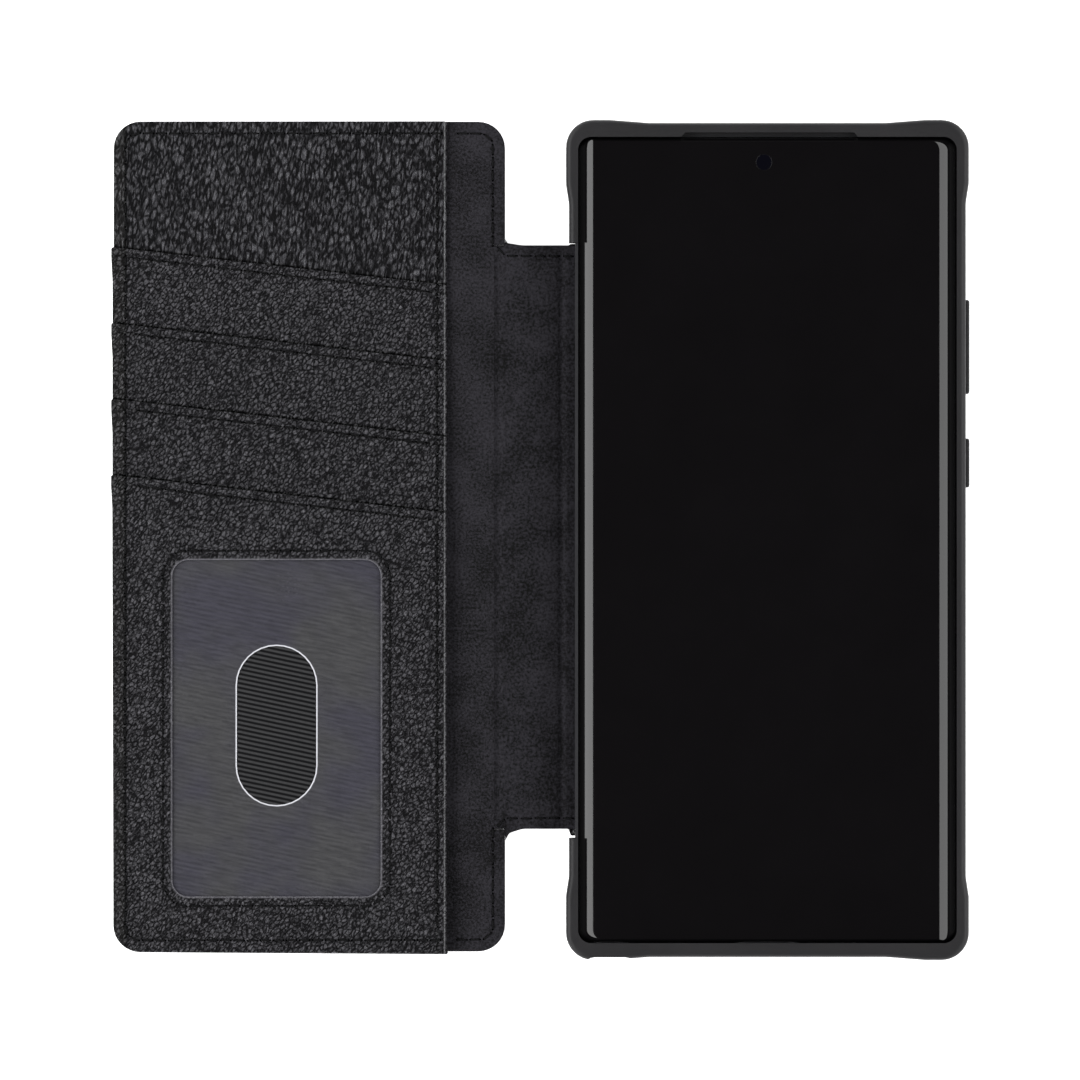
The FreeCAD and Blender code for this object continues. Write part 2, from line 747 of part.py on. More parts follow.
def cover_outline():
    """The cover's outline: it reaches past the fold above and below the spine."""
    low = "sizes.spine_bottom - sizes.cover_gap"
    high = "sizes.spine_top + sizes.cover_gap"
    return [
        ("sizes.cover_left", "sizes.cover_bottom"),
        ("sizes.cover_right", "sizes.cover_bottom"),
        ("sizes.cover_right", low),
        (COVER_EDGE, low),
        (COVER_EDGE, high),
        ("sizes.cover_right", high),
        ("sizes.cover_right", "sizes.cover_top"),
        ("sizes.cover_left", "sizes.cover_top"),
    ]


def make_cover():
    """Leather outside, board in the middle, lining inside and round the board's edges."""
    outline = cover_outline()
    corners = [outline[0], outline[1], outline[6], outline[7]]
    board_edges = (
        "sizes.cover_left + sizes.board_inset",
        COVER_EDGE + " - sizes.board_inset",
        "sizes.cover_bottom + sizes.board_inset",
        "sizes.cover_top - sizes.board_inset",
        "sizes.board_corner",
    )
    leather = slab("cover_leather", outline, 0, "sizes.leather")
    fillet(leather, "cover_leather_corners", "sizes.cover_corner", upright_at(corners))
    rounded_slab("cover_board", *board_edges, "sizes.leather", "sizes.cover_board")
    lining = slab("cover_lining", outline, "sizes.leather", COVER_HIGH + " - sizes.leather")
    fillet(lining, "cover_lining_corners", "sizes.cover_corner", upright_at(corners))
    cut_rounded(lining, "cover_board_seat", *board_edges, "sizes.leather", "sizes.cover_board")


def make_cash_pocket():
    """The full-height banknote pocket: a fabric back, and the big leather panel sewn to it on three sides."""
    back = rectangle(
        "sizes.cover_left + sizes.cash_inset",
        "sizes.wallet_right - 1",
        "sizes.cover_bottom + sizes.cash_inset",
        "sizes.cover_top - sizes.cash_inset",
    )
    fabric = slab("cash_pocket_back", back, COVER_HIGH, "sizes.cash_back")
    fillet(fabric, "cash_back_corners", "sizes.cover_corner", upright_at([back[0], back[3]]))
    face = rectangle("sizes.cover_left", "sizes.wallet_right", "sizes.wallet_bottom", "sizes.wallet_top")
    panel = slab("wallet_panel", face, CASH_TOP, PANEL_TOP + " - " + CASH_TOP)
    fillet(panel, "panel_corners", "sizes.cover_corner", upright_at([face[0], face[3]]))
    room = new_sketch(panel, "banknote_room", CASH_TOP)
    draw_polygon(
        room,
        rectangle(
            "sizes.cover_left + sizes.cash_rim",
            "sizes.wallet_right + 1",
            "sizes.wallet_bottom + sizes.cash_rim",
            "sizes.wallet_top - sizes.cash_rim",
        ),
    )
    pocket(panel, room, "sizes.cash_gap")


def pocket_outline(number):
    """A pocket's outline, from its slanted mouth down to the panel's foot. Pocket 0 is the top one."""
    mouth = "(sizes.edge_left - %d * sizes.edge_pitch)" % number
    return [
        ("sizes.wallet_left", "sizes.wallet_bottom"),
        ("sizes.wallet_right", "sizes.wallet_bottom"),
        ("sizes.wallet_right", mouth + " - sizes.edge_drop"),
        ("sizes.wallet_left", mouth),
    ]


def make_card_pockets():
    """Three card pockets, each lying over the one above it."""
    for number in range(CARD_POCKETS):
        label = "card_pocket_%d" % (number + 1)
        outline = pocket_outline(number)
        body = slab(label, outline, PANEL_TOP + " + %d * sizes.pocket" % number, "sizes.pocket")
        fillet(body, label + "_corner", "sizes.cover_corner", upright_at([outline[0]]))


def window_edges(extra):
    """Left, right, low and high edges around the window."""
    wide = "(sizes.window_wide / 2 + " + extra + ")"
    long = "(sizes.window_long / 2 + " + extra + ")"
    return (
        "sizes.window_x - " + wide,
        "sizes.window_x + " + wide,
        "sizes.window_y - " + long,
        "sizes.window_y + " + long,
    )


def make_window_pocket():
    """The front pocket: ribbed fabric, clear film with a thumb slot, and the leather frame over both."""
    lap = window_edges("sizes.film_lap")
    rounded_slab("window_lining", *lap, 2, POCKETS_TOP, "sizes.window_lining")
    film = rounded_slab("window_film", *lap, 2, WINDOW_FLOOR, "sizes.film")
    cut_rounded(
        film,
        "thumb_slot",
        "sizes.window_x - sizes.thumb_wide / 2",
        "sizes.window_x + sizes.thumb_wide / 2",
        "sizes.thumb_y - sizes.thumb_long / 2",
        "sizes.thumb_y + sizes.thumb_long / 2",
        "sizes.thumb_wide / 2 - 0.05",
        WINDOW_FLOOR + " - 0.5",
        2,
    )
    outline = pocket_outline(CARD_POCKETS)
    frame = slab("window_pocket", outline, POCKETS_TOP, "sizes.window_panel")
    fillet(frame, "window_pocket_corner", "sizes.cover_corner", upright_at([outline[0]]))
    cut_rounded(frame, "film_seat", *lap, 2, POCKETS_TOP, "sizes.window_lining + sizes.film")
    cut_rounded(frame, "window_opening", *window_edges("0"), "sizes.window_corner", POCKETS_TOP, 2)


def wallet_surface(x, y):
    """Height of the top surface of the cover and wallet at a place, or None at a pocket's mouth."""
    if x > amount("sizes.wallet_right"):
        return amount(COVER_HIGH)
    across = (x - amount("sizes.wallet_left")) / amount("sizes.wallet_right - sizes.wallet_left")
    mouth = amount("sizes.edge_left") - across * amount("sizes.edge_drop")
    pitch = amount("sizes.edge_pitch")
    clear = amount("sizes.stitch_long") * 0.7
    heights = [PANEL_TOP]
    heights += [PANEL_TOP + " + %d * sizes.pocket" % number for number in range(1, CARD_POCKETS + 1)]
    heights += [WALLET_HIGH]
    level = 0
    for number in range(CARD_POCKETS + 1):
        distance = y - (mouth - number * pitch)
        if abs(distance) < clear:
            return None
        if distance < 0:
            level = number + 1
    return amount(heights[level])


def stitch(x, y, z, angle):
    """One stitch: the short bar of thread that shows between two needle holes."""
    long = amount("sizes.stitch_long")
    wide = amount("sizes.stitch_wide")
    bar = Part.makeBox(long, wide, amount("sizes.stitch_high"), Vector(-long / 2, -wide / 2, 0))
    bar.rotate(Vector(0, 0, 0), Vector(0, 0, 1), angle)
    bar.translate(Vector(x, y, z))
    return bar


def seam(start, end, surface):
    """A straight row of stitches from start to end, evenly spaced, each on the surface below it."""
    run = math.hypot(end[0] - start[0], end[1] - start[1])
    count = int(run / amount("sizes.stitch_pitch"))
    angle = math.degrees(math.atan2(end[1] - start[1], end[0] - start[0]))
    bars = []
    for number in range(count):
        share = (number + 0.5) / count
        x = start[0] + (end[0] - start[0]) * share
        y = start[1] + (end[1] - start[1]) * share
        z = surface(x, y)
        if z is not None:
            bars.append(stitch(x, y, z, angle))
    return bars


def make_group(label, solids):
    """Small separate solids that share one node."""
    feature = document.addObject("Part::Feature", label)
    feature.Label = label
    feature.Shape = Part.makeCompound(solids)


def make_threads():
    """Every seam that shows on the inside of the open case."""
    inset = amount("sizes.stitch_inset")
    turn = amount("sizes.cover_corner") - inset
    left = amount("sizes.cover_left") + inset
    right = amount("sizes.cover_right") - inset - 0.2
    low = amount("sizes.cover_bottom") + inset
    high = amount("sizes.cover_top") - inset
    edges = [
        ((left + turn, high), (right - turn, high)),
        ((right, high - turn), (right, amount("sizes.spine_top + 1"))),
        ((right, amount("sizes.spine_bottom - 1")), (right, low + turn)),
        ((right - turn, low), (left + turn, low)),
        ((left, low + turn), (left, high - turn)),
    ]
    make_group("cover_thread", [bar for edge in edges for bar in seam(*edge, wallet_surface)])
    fold = amount("sizes.wallet_right - sizes.panel_seam")
    make_group("panel_thread", seam((fold, low + inset), (fold, high - inset), wallet_surface))
    make_window_thread()
    make_hem_thread()
    make_spine_thread()


def make_window_thread():
    x0, x1, y0, y1 = (amount(edge) for edge in window_edges("sizes.window_seam"))
    turn = amount("sizes.window_corner")
    top = amount(WALLET_HIGH)
    edges = [
        ((x0 + turn, y1), (x1 - turn, y1)),
        ((x1, y1 - turn), (x1, y0 + turn)),
        ((x1 - turn, y0), (x0 + turn, y0)),
        ((x0, y0 + turn), (x0, y1 - turn)),
    ]
    make_group("window_thread", [bar for edge in edges for bar in seam(*edge, lambda x, y: top)])


def make_hem_thread():
    """The seam that holds down the turned mouth of each pocket."""
    x0 = amount("sizes.cover_left + 2 * sizes.stitch_inset")
    x1 = amount("sizes.wallet_right - 2 * sizes.panel_seam")
    slope = amount("-sizes.edge_drop / (sizes.wallet_right - sizes.wallet_left)")
    bars = []
    for number in range(CARD_POCKETS + 1):
        mouth = amount("sizes.edge_left - sizes.hem_seam - %d * sizes.edge_pitch" % number)
        start = mouth + (x0 - amount("sizes.wallet_left")) * slope
        end = mouth + (x1 - amount("sizes.wallet_left")) * slope
        bars += seam((x0, start), (x1, end), wallet_surface)
    make_group("hem_thread", bars)


def make_spine_thread():
    x0 = amount(SPINE_LEFT)
    x1 = amount(SPINE_RIGHT)
    top = amount(SPINE_HIGH)
    rows = [amount("sizes.spine_top - sizes.spine_seam"), amount("sizes.spine_bottom + sizes.spine_seam")]
    make_group("spine_thread", [bar for y in rows for bar in seam((x0, y), (x1, y), lambda x, y: top)])


def make_handset():
    """A plain dummy of the handset that the case is made for."""
    left = "sizes.shell_x - sizes.handset_wide / 2"
    right = "sizes.shell_x + sizes.handset_wide / 2"
    end = "sizes.handset_long / 2"
    edges = (left, right, "-" + end, end, "sizes.handset_corner")
    back = rounded_slab("handset_back_glass", *edges, HANDSET_BACK, "sizes.back_glass")
    fillet(back, "back_glass_round", 1.6, level_at(HANDSET_BACK))
    rounded_slab(
        "handset_frame",
        *edges,
        HANDSET_BACK + " + sizes.back_glass",
        "sizes.handset_thick - sizes.back_glass - sizes.front_glass",
    )
    front = rounded_slab("handset_screen", *edges, HANDSET_FACE + " - sizes.front_glass", "sizes.front_glass")
    fillet(front, "screen_round", 1.7, level_at(HANDSET_FACE))
    make_front_camera(front)
    make_rear_camera()


def make_front_camera(screen):
    """The front camera sits in a blind hole in the screen."""
    depth = "sizes.selfie_depth"
    radius = "sizes.selfie_radius"
    box = (
        "sizes.selfie_x - " + radius,
        "sizes.selfie_x + " + radius,
        "sizes.selfie_y - " + radius,
        "sizes.selfie_y + " + radius,
    )
    cut_rounded(screen, "selfie_hole", *box, radius + " - 0.02", HANDSET_FACE + " - " + depth, depth + " + 1")
    rounded_slab(
        "handset_front_camera", *box, radius + " - 0.02", HANDSET_FACE + " - " + depth, depth + " - 0.05"
    )


def make_rear_camera():
    """The camera block on the handset's back, and the lenses on its face."""
    block = camera_edges("0")
    high = HANDSET_BACK + " - sizes.camera_low"
    rounded_slab("handset_camera_block", *block, "sizes.camera_corner", "sizes.camera_low", high)
    x = amount("sizes.camera_x")
    y = amount("sizes.camera_y")
    pitch = amount("sizes.lens_pitch")
    radius = amount("sizes.lens_radius")
    face = amount("sizes.camera_low")
    proud = amount("sizes.lens_proud")
    lenses = []
    for number in range(MAIN_LENSES):
        place = Vector(x + radius, y + (number - 1) * pitch, face - proud)
        lenses.append(Part.makeCylinder(radius, proud, place))
    for number in range(SMALL_LENSES):
        place = Vector(x - radius * 1.4, y + (number - 0.5) * pitch, face - proud)
        lenses.append(Part.makeCylinder(radius * 0.45, proud, place))
    make_group("handset_camera_lenses", lenses)


make_hard_tray()
make_bumper()
make_tray_liner()
make_back_leather()
make_camera_bezel()
for key, (middle, length) in KEYS.items():
    make_key(key + "_key", middle, length)
make_folds()
make_spine()
make_cover()
make_cash_pocket()
make_card_pockets()
make_window_pocket()
make_threads()
make_handset()
document.recompute()

failed = [thing.Name for thing in document.Objects if {"Invalid", "Error"} & set(thing.State)]
if failed:
    raise ValueError("these did not build: " + ", ".join(failed))

pieces = [thing for thing in document.Objects if thing.TypeId in ("PartDesign::Body", "Part::Feature")]
for piece in pieces:
    if piece.Shape.isNull() or not piece.Shape.isValid():
        raise ValueError(piece.Label + " has no valid shape")

os.makedirs("parts", exist_ok=True)
for piece in pieces:
    piece.Shape.exportStep("parts/" + piece.Label + ".step")
print("wrote", len(pieces), "pieces")
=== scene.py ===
# %% [markdown]
# # A folio wallet case, dressed in Blender
# A wallet case is mostly sheet goods: leather outside, microfibre inside, and pockets sewn to the
# cover. The hard tray and its rubber bumper are right as engineering solids, so they only get better
# finishes. Everything soft is built again, because leather has rounded edges, turned hems, sunken
# seams and a little air under it.

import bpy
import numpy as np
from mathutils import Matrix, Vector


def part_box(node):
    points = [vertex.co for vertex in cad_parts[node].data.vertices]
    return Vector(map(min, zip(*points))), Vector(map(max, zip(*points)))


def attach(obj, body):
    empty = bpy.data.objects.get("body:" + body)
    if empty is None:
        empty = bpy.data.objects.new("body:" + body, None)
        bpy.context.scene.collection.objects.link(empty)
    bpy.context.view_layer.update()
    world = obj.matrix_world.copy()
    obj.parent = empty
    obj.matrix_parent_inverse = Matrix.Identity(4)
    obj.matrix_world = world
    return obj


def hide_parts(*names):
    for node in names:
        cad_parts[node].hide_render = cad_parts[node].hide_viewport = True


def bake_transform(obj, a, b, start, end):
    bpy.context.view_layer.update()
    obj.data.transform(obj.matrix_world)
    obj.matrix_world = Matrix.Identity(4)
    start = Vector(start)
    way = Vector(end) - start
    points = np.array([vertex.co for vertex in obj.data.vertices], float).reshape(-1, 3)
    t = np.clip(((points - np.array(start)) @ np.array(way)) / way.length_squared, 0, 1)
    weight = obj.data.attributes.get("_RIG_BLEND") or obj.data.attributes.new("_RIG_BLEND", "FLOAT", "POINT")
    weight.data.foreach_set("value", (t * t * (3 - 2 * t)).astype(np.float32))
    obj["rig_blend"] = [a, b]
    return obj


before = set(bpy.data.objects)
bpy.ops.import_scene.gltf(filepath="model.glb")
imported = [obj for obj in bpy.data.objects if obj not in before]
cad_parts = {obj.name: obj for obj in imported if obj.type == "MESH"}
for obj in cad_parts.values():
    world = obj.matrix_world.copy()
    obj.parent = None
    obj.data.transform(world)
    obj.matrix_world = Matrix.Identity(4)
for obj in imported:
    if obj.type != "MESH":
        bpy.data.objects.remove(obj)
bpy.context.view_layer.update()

# %% [markdown]
# Sizes are written in millimetres, as a leather worker would, and turned into metres by one factor
# at the moment a vertex is made. Every place comes from the boxes of the frame's own nodes, so the
# leather always fits the tray.

# %% Units and places
import math
import random

import bmesh
import bpy
from mathutils import Vector, noise
from mathutils.bvhtree import BVHTree

MM = 0.001
random.seed(7)


def span(node):
    """A node's lowest and highest corner, in millimetres."""
    low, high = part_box(node)
    return low / MM, high / MM


cover_low, cover_high = span("cover_leather")
fold_low, fold_high = span("cover_fold_leather")
tray_fold_low, tray_fold_high = span("tray_fold_leather")
back_low, back_high = span("back_leather")
spine_top = span("spine_lining")[1].z
cover_top = span("cover_lining")[1].z
panel_low, panel_high = span("wallet_panel")
window_low, window_high = span("window_pocket")
print("cover %.1f by %.1f mm" % (cover_high.x - cover_low.x, cover_high.y - cover_low.y))

# %% [markdown]
# ## Studio
# The open case lies flat and is seen from straight above, so the camera hangs over its middle with
# a long lens. Two big soft boxes stand at the left and right, and the air between them stays dark.
# That gap matters: a phone's flat glass mirrors what is straight above it, and only its curved
# edges turn far enough to catch the soft boxes.

# %% Camera
CAMERA_HEIGHT = 2.6
SENSOR = 36.0
VIEW_WIDTH = 0.2222

camera_data = bpy.data.cameras.new("camera")
camera_data.sensor_width = SENSOR
camera_data.lens = SENSOR * CAMERA_HEIGHT / VIEW_WIDTH
camera_data.clip_end = 10
camera = bpy.data.objects.new("camera", camera_data)
camera.location = (0, 0, CAMERA_HEIGHT)
bpy.context.scene.collection.objects.link(camera)
bpy.context.scene.camera = camera
bpy.context.scene.view_settings.view_transform = "Standard"
print("lens %.0f mm" % camera_data.lens)

# %% Soft boxes
BOX_SIZE = (1.29, 1.7)
BOX_PLACE = (1.07, 0.0, 0.8)
BOX_WATTS = {-1: 29.0, 1: 22.0}

for side in (-1, 1):
    light_data = bpy.data.lights.new("soft_box", "AREA")
    light_data.shape = "RECTANGLE"
    light_data.size, light_data.size_y = BOX_SIZE
    light_data.energy = BOX_WATTS[side]
    light = bpy.data.objects.new("soft_box_right" if side > 0 else "soft_box_left", light_data)
    light.location = (side * BOX_PLACE[0], BOX_PLACE[1], BOX_PLACE[2])
    light.visible_camera = False
    bpy.context.scene.collection.objects.link(light)
print("two soft boxes of %.1f by %.1f m" % BOX_SIZE)

# %% [markdown]
# The world is a pale room low down and dark overhead. A gradient on the ray's height does it.

# %% World and floor
world = bpy.data.worlds.new("studio")
world.use_nodes = True
bpy.context.scene.world = world
sky = world.node_tree
sky_place = sky.nodes.new("ShaderNodeTexCoord")
sky_split = sky.nodes.new("ShaderNodeSeparateXYZ")
sky_ramp = sky.nodes.new("ShaderNodeValToRGB")
sky.links.new(sky_place.outputs["Generated"], sky_split.inputs[0])
sky.links.new(sky_split.outputs["Z"], sky_ramp.inputs[0])
sky.links.new(sky_ramp.outputs["Color"], sky.nodes["Background"].inputs["Color"])
sky_ramp.color_ramp.elements[0].position = 0.35
sky_ramp.color_ramp.elements[0].color = (0.75, 0.76, 0.78, 1)
sky_ramp.color_ramp.elements[1].position = 0.8
sky_ramp.color_ramp.elements[1].color = (0.02, 0.02, 0.02, 1)

FLOOR_HALF = 2.0
FLOOR_DROP = 0.0002
floor_mesh = bpy.data.meshes.new("floor")
floor_signs = ((-1, -1), (1, -1), (1, 1), (-1, 1))
floor_corners = [(x * FLOOR_HALF, y * FLOOR_HALF, -FLOOR_DROP) for x, y in floor_signs]
floor_mesh.from_pydata(floor_corners, [], [(0, 1, 2, 3)])
floor = bpy.data.objects.new("floor", floor_mesh)
bpy.context.scene.collection.objects.link(floor)

# %% [markdown]
# ## Making sheet goods
# A piece of leather is an outline, cut with a knife, whose edge is then pared and turned. So each
# piece here starts as a list of corners, each with the radius it is rounded to. The outline can be
# drawn again further in, and a stack of such rings, each at its own height, makes the rounded rim
# and the groove that a row of stitches pulls into the surface. A side that only butts against its
# neighbour has a share of 0, so it doesn't move in and stays square.

# %% Outlines
ARC_STEPS = 8
SMALLEST_RADIUS = 0.03
STRAIGHT = 1e-6


def sides_at(points, index):
    """The directions of the sides before and after a corner."""
    point = points[index]
    following = points[(index + 1) % len(points)]
    return (point - points[index - 1]).normalized(), (following - point).normalized()


def moved_corners(corners, shares, inset):
    """The outline's corners after each side has moved in by its share of the inset."""
    points = [Vector(corner[:2]) for corner in corners]
    moved = []
    for index, point in enumerate(points):
        before, after = sides_at(points, index)
        in_before, in_after = before.orthogonal(), after.orthogonal()
        by_before, by_after = shares[index - 1] * inset, shares[index] * inset
        if abs(before.cross(after)) < STRAIGHT:
            moved.append(point + in_after * by_after)
            continue
        along = (by_after - by_before * in_before.dot(in_after)) / in_after.dot(before)
        moved.append(point + in_before * by_before + before * along)
    return moved


def ring_points(corners, shares, inset):
    """The rounded outline at an inset, always with the same number of points."""
    points = moved_corners(corners, shares, inset)
    ring = []
    for index, corner in enumerate(corners):
        point = points[index]
        if corner[2] == 0:
            ring.append(point)
            continue
        before, after = sides_at(points, index)
        turn = math.atan2(before.cross(after), before.dot(after))
        radius = max(corner[2] - inset * math.copysign(shares[index], turn), SMALLEST_RADIUS)
        reach = radius * math.tan(abs(turn) / 2)
        start = point - before * reach
        centre = start + before.orthogonal() * math.copysign(radius, turn)
        arm = start - centre
        for step in range(ARC_STEPS + 1):
            angle = turn * step / ARC_STEPS
            cos, sin = math.cos(angle), math.sin(angle)
            ring.append(centre + Vector((arm.x * cos - arm.y * sin, arm.x * sin + arm.y * cos)))
    return ring


def block(low, high, radius):
    """Four corners of a rounded rectangle, counter-clockwise."""
    (left, foot), (right, head) = low[:2], high[:2]
    return [(left, foot, radius), (right, foot, radius), (right, head, radius), (left, head, radius)]


def hole_block(low, high, radius):
    """The same corners clockwise, for an opening."""
    return block(low, high, radius)[::-1]


# %% [markdown]
# The rim is a list of (inset, height) pairs that starts under the sheet, climbs round its edge and
# ends on top. A seam adds a shallow valley to it, and a recess leaves room below for a board.

# %% Rims and seams
RIM_STEPS = 5
RIM_WIDTH = 0.8
VALLEY = ((-0.75, 0.0), (-0.35, 0.5), (0.0, 1.0), (0.35, 0.5), (0.75, 0.0))


def valley(seam, depth):
    return [(seam + aside, depth * share) for aside, share in VALLEY]


def rim_profile(low, high, radius, seam=None, groove=0.12, under_groove=0, recess=None):
    """Insets and heights from the middle of the underside, round the rim, to the middle of the top."""
    profile = []
    if recess:
        profile += [(recess[0], recess[1]), (recess[0] - 0.02, low)]
    if under_groove:
        profile += [(inset, low + deep) for inset, deep in reversed(valley(seam, under_groove))]
    if not seam:
        profile.append((RIM_WIDTH, low))
    angles = [math.pi / 2 * step / RIM_STEPS for step in range(RIM_STEPS + 1)]
    profile += [(radius * (1 - math.sin(a)), low + radius * (1 - math.cos(a))) for a in angles]
    profile += [(radius * (1 - math.sin(a)), high - radius * (1 - math.cos(a))) for a in reversed(angles)]
    if seam:
        profile += [(inset, high - deep) for inset, deep in valley(seam, groove)]
    else:
        profile.append((RIM_WIDTH, high))
    return profile


# %% [markdown]
# A sheet is then a stack of rings for its outline and for each hole, closed by a filled cap above
# and below. The caps are cut into a grid so that a relief function can lift them: that is where the
# softness comes from. The fill's own diagonals are dissolved again, which leaves clean cells. A wall
# with a fourth entry, PALE, remembers how near each vertex is to its rim, for a cut edge painted pale:
# on leather partly edge paint and partly painted highlight, on the film a painted glow.

# %% Sheets
PALE = "pale"
AXES = {"x": Vector((1, 0, 0)), "y": Vector((0, 1, 0))}


def new_mesh():
    """An empty mesh whose vertices can remember how near their rim they are."""
    mesh = bmesh.new()
    mesh.verts.layers.float.new("rim")
    return mesh


def join_loops(mesh, loops):
    """Faces between each loop of vertices and the next."""
    for lower, upper in zip(loops, loops[1:]):
        for index in range(len(lower)):
            after = (index + 1) % len(lower)
            mesh.faces.new((lower[index], lower[after], upper[after], upper[index]))


def build_rings(mesh, wall):
    """The strips of one wall; returns the edges of its lowest and highest ring."""
    corners, shares, profile = wall[:3]
    pale = len(wall) > 3
    rim = mesh.verts.layers.float["rim"]
    loops = []
    for inset, height in profile:
        loop = [mesh.verts.new((point.x, point.y, height)) for point in ring_points(corners, shares, inset)]
        for vertex in loop:
            vertex[rim] = max(0.0, 1 - inset / RIM_WIDTH) if pale else 0.0
        loops.append(loop)
    join_loops(mesh, loops)
    outer = (loops[0], loops[-1])
    return [[mesh.edges.get(pair) for pair in zip(loop, loop[1:] + loop[:1])] for loop in outer]


def fill_cap(mesh, edges):
    spare = mesh.edges.layers.int["spare"]
    made = bmesh.ops.triangle_fill(mesh, edges=edges, use_beauty=True, use_dissolve=False)["geom"]
    borders = set(edges)
    for item in made:
        if isinstance(item, bmesh.types.BMEdge) and item not in borders:
            item[spare] = 1


def cut_grid(mesh, cuts):
    """Cuts along x = value or y = value lines, given as (axis, value)."""
    geometry = list(mesh.verts) + list(mesh.edges) + list(mesh.faces)
    for axis, value in cuts:
        along = AXES[axis]
        done = bmesh.ops.bisect_plane(mesh, geom=geometry, dist=1e-4, plane_co=along * value, plane_no=along)
        geometry = done["geom"]


def grid_lines(axis, low, high, spacing):
    count = max(2, round((high - low) / spacing))
    return [(axis, low + (high - low) * step / count) for step in range(1, count)]


def grid(low, high, across, along):
    """Cuts both ways over a rectangle, at a spacing across it and a spacing along it."""
    return grid_lines("x", low[0], high[0], across) + grid_lines("y", low[1], high[1], along)


def finish_mesh(mesh, name, sharp=50):
    """Scales a millimetre mesh to metres, smooths it and makes it an object."""
    for vertex in mesh.verts:
        vertex.co *= MM
    bmesh.ops.recalc_face_normals(mesh, faces=mesh.faces)
    for face in mesh.faces:
        face.smooth = True
    for edge in mesh.edges:
        edge.smooth = edge.calc_face_angle(0) < math.radians(sharp)
    data = bpy.data.meshes.new(name)
    mesh.to_mesh(data)
    mesh.free()
    piece = bpy.data.objects.new(name, data)
    bpy.context.scene.collection.objects.link(piece)
    weighted = piece.modifiers.new("even_normals", "WEIGHTED_NORMAL")
    weighted.keep_sharp = True
    print(name, len(data.vertices), "vertices")
    return piece


def sheet(name, walls, cuts=(), relief=None):
    """A closed sheet from its walls; relief(x, y, share) gives the lift at a place and height share."""
    mesh = new_mesh()
    spare = mesh.edges.layers.int.new("spare")
    ends = [build_rings(mesh, wall) for wall in walls]
    low = min(height for wall in walls for inset, height in wall[2])
    high = max(height for wall in walls for inset, height in wall[2])
    for level in (0, 1):
        fill_cap(mesh, [edge for end in ends for edge in end[level]])
    cut_grid(mesh, cuts)
    bmesh.ops.dissolve_edges(mesh, edges=[edge for edge in mesh.edges if edge[spare]], use_verts=True)
    if relief:
        for vertex in mesh.verts:
            share = (vertex.co.z - low) / (high - low)
            vertex.co.z += relief(vertex.co.x, vertex.co.y, share)
    return finish_mesh(mesh, name)


def smooth_step(value):
    value = min(1.0, max(0.0, value))
    return value * value * (3 - 2 * value)


def dip(distance, width):
    """A soft valley, 1 at its middle."""
    return math.exp(-((distance / width) ** 2))


# %% [markdown]
# ## Outer leather
# One hide runs round the outside: over the tray's back, through the spine and over the cover. Two
# folds cross it, one on each side of the spine. The strip at the cover's fold is a piece of its own,
# because above and below it the cover's corners stay stiff and swing past the spine.

# %% Outer leather
LEATHER_RIM = 0.32
STITCH_INSET = 2.45
OUTER_GROOVE = 0.34
BEND_ROWS = 10
BEND_STEP = 0.4
cover_fold_cuts = grid_lines("x", fold_low.x, fold_high.x, (fold_high.x - fold_low.x) / BEND_ROWS)
tray_fold_cuts = grid_lines("x", tray_fold_low.x, tray_fold_high.x, BEND_STEP)
tray_fold_cuts += [("x", tray_fold_low.x), ("x", tray_fold_high.x)]
leather_top = cover_high.z
CORNER = 5.5
BACK_CORNER = 3.2
bezel_low, bezel_high = span("camera_bezel")
BEZEL_CORNER = 6.2
BEZEL_RIM = 0.2
WEB_LOW, WEB_HIGH = 2.4, 1.3
WEB_LONG = 3.6
WEB_ROUND = 4.0
EAR_X = tray_fold_low.x + 1.3
EAR_OUT, EAR_OUT_TOP = 1.4, 0.3
EAR_SLOPE = 0.5
EAR_ROUND = 0.4
EAR_CORNER = 1.0


def spine_end(edge, side, web):
    """Corners along one end of the spine: a web in the crook of the cover."""
    return [
        (fold_high.x, edge + side * web, 0),
        (fold_high.x + 0.35 * web, edge + side * web * 0.35, web * 0.5),
        (fold_high.x + WEB_LONG, edge, WEB_ROUND),
    ]


def tray_ear(edge, side, out):
    """Corners where the hide widens from the spine to the tray's back."""
    reach = edge + side * out
    return [(EAR_X, edge, EAR_ROUND), (EAR_X + EAR_SLOPE, reach, EAR_ROUND), (back_low.x, reach, EAR_CORNER)]


back_corners = spine_end(fold_low.y, -1, WEB_LOW) + tray_ear(fold_low.y, -1, EAR_OUT)
back_corners += block(back_low, back_high, BACK_CORNER)
back_corners += tray_ear(fold_high.y, 1, EAR_OUT_TOP)[::-1] + spine_end(fold_high.y, 1, WEB_HIGH)[::-1]
back_shares = [1] * (len(back_corners) - 1) + [0]
leather_profile = rim_profile(0, leather_top, LEATHER_RIM, STITCH_INSET, 0, OUTER_GROOVE)
hole_profile = rim_profile(0, leather_top, BEZEL_RIM)
camera_hole = hole_block(bezel_low, bezel_high, BEZEL_CORNER)
outer_back = sheet(
    "outer_leather_back",
    [(back_corners, back_shares, leather_profile), (camera_hole, [1] * 4, hole_profile)],
    tray_fold_cuts,
)

fold_corners = block(fold_low, fold_high, 0)
outer_fold = sheet("outer_leather_fold", [(fold_corners, [1, 0, 1, 0], leather_profile)], cover_fold_cuts)

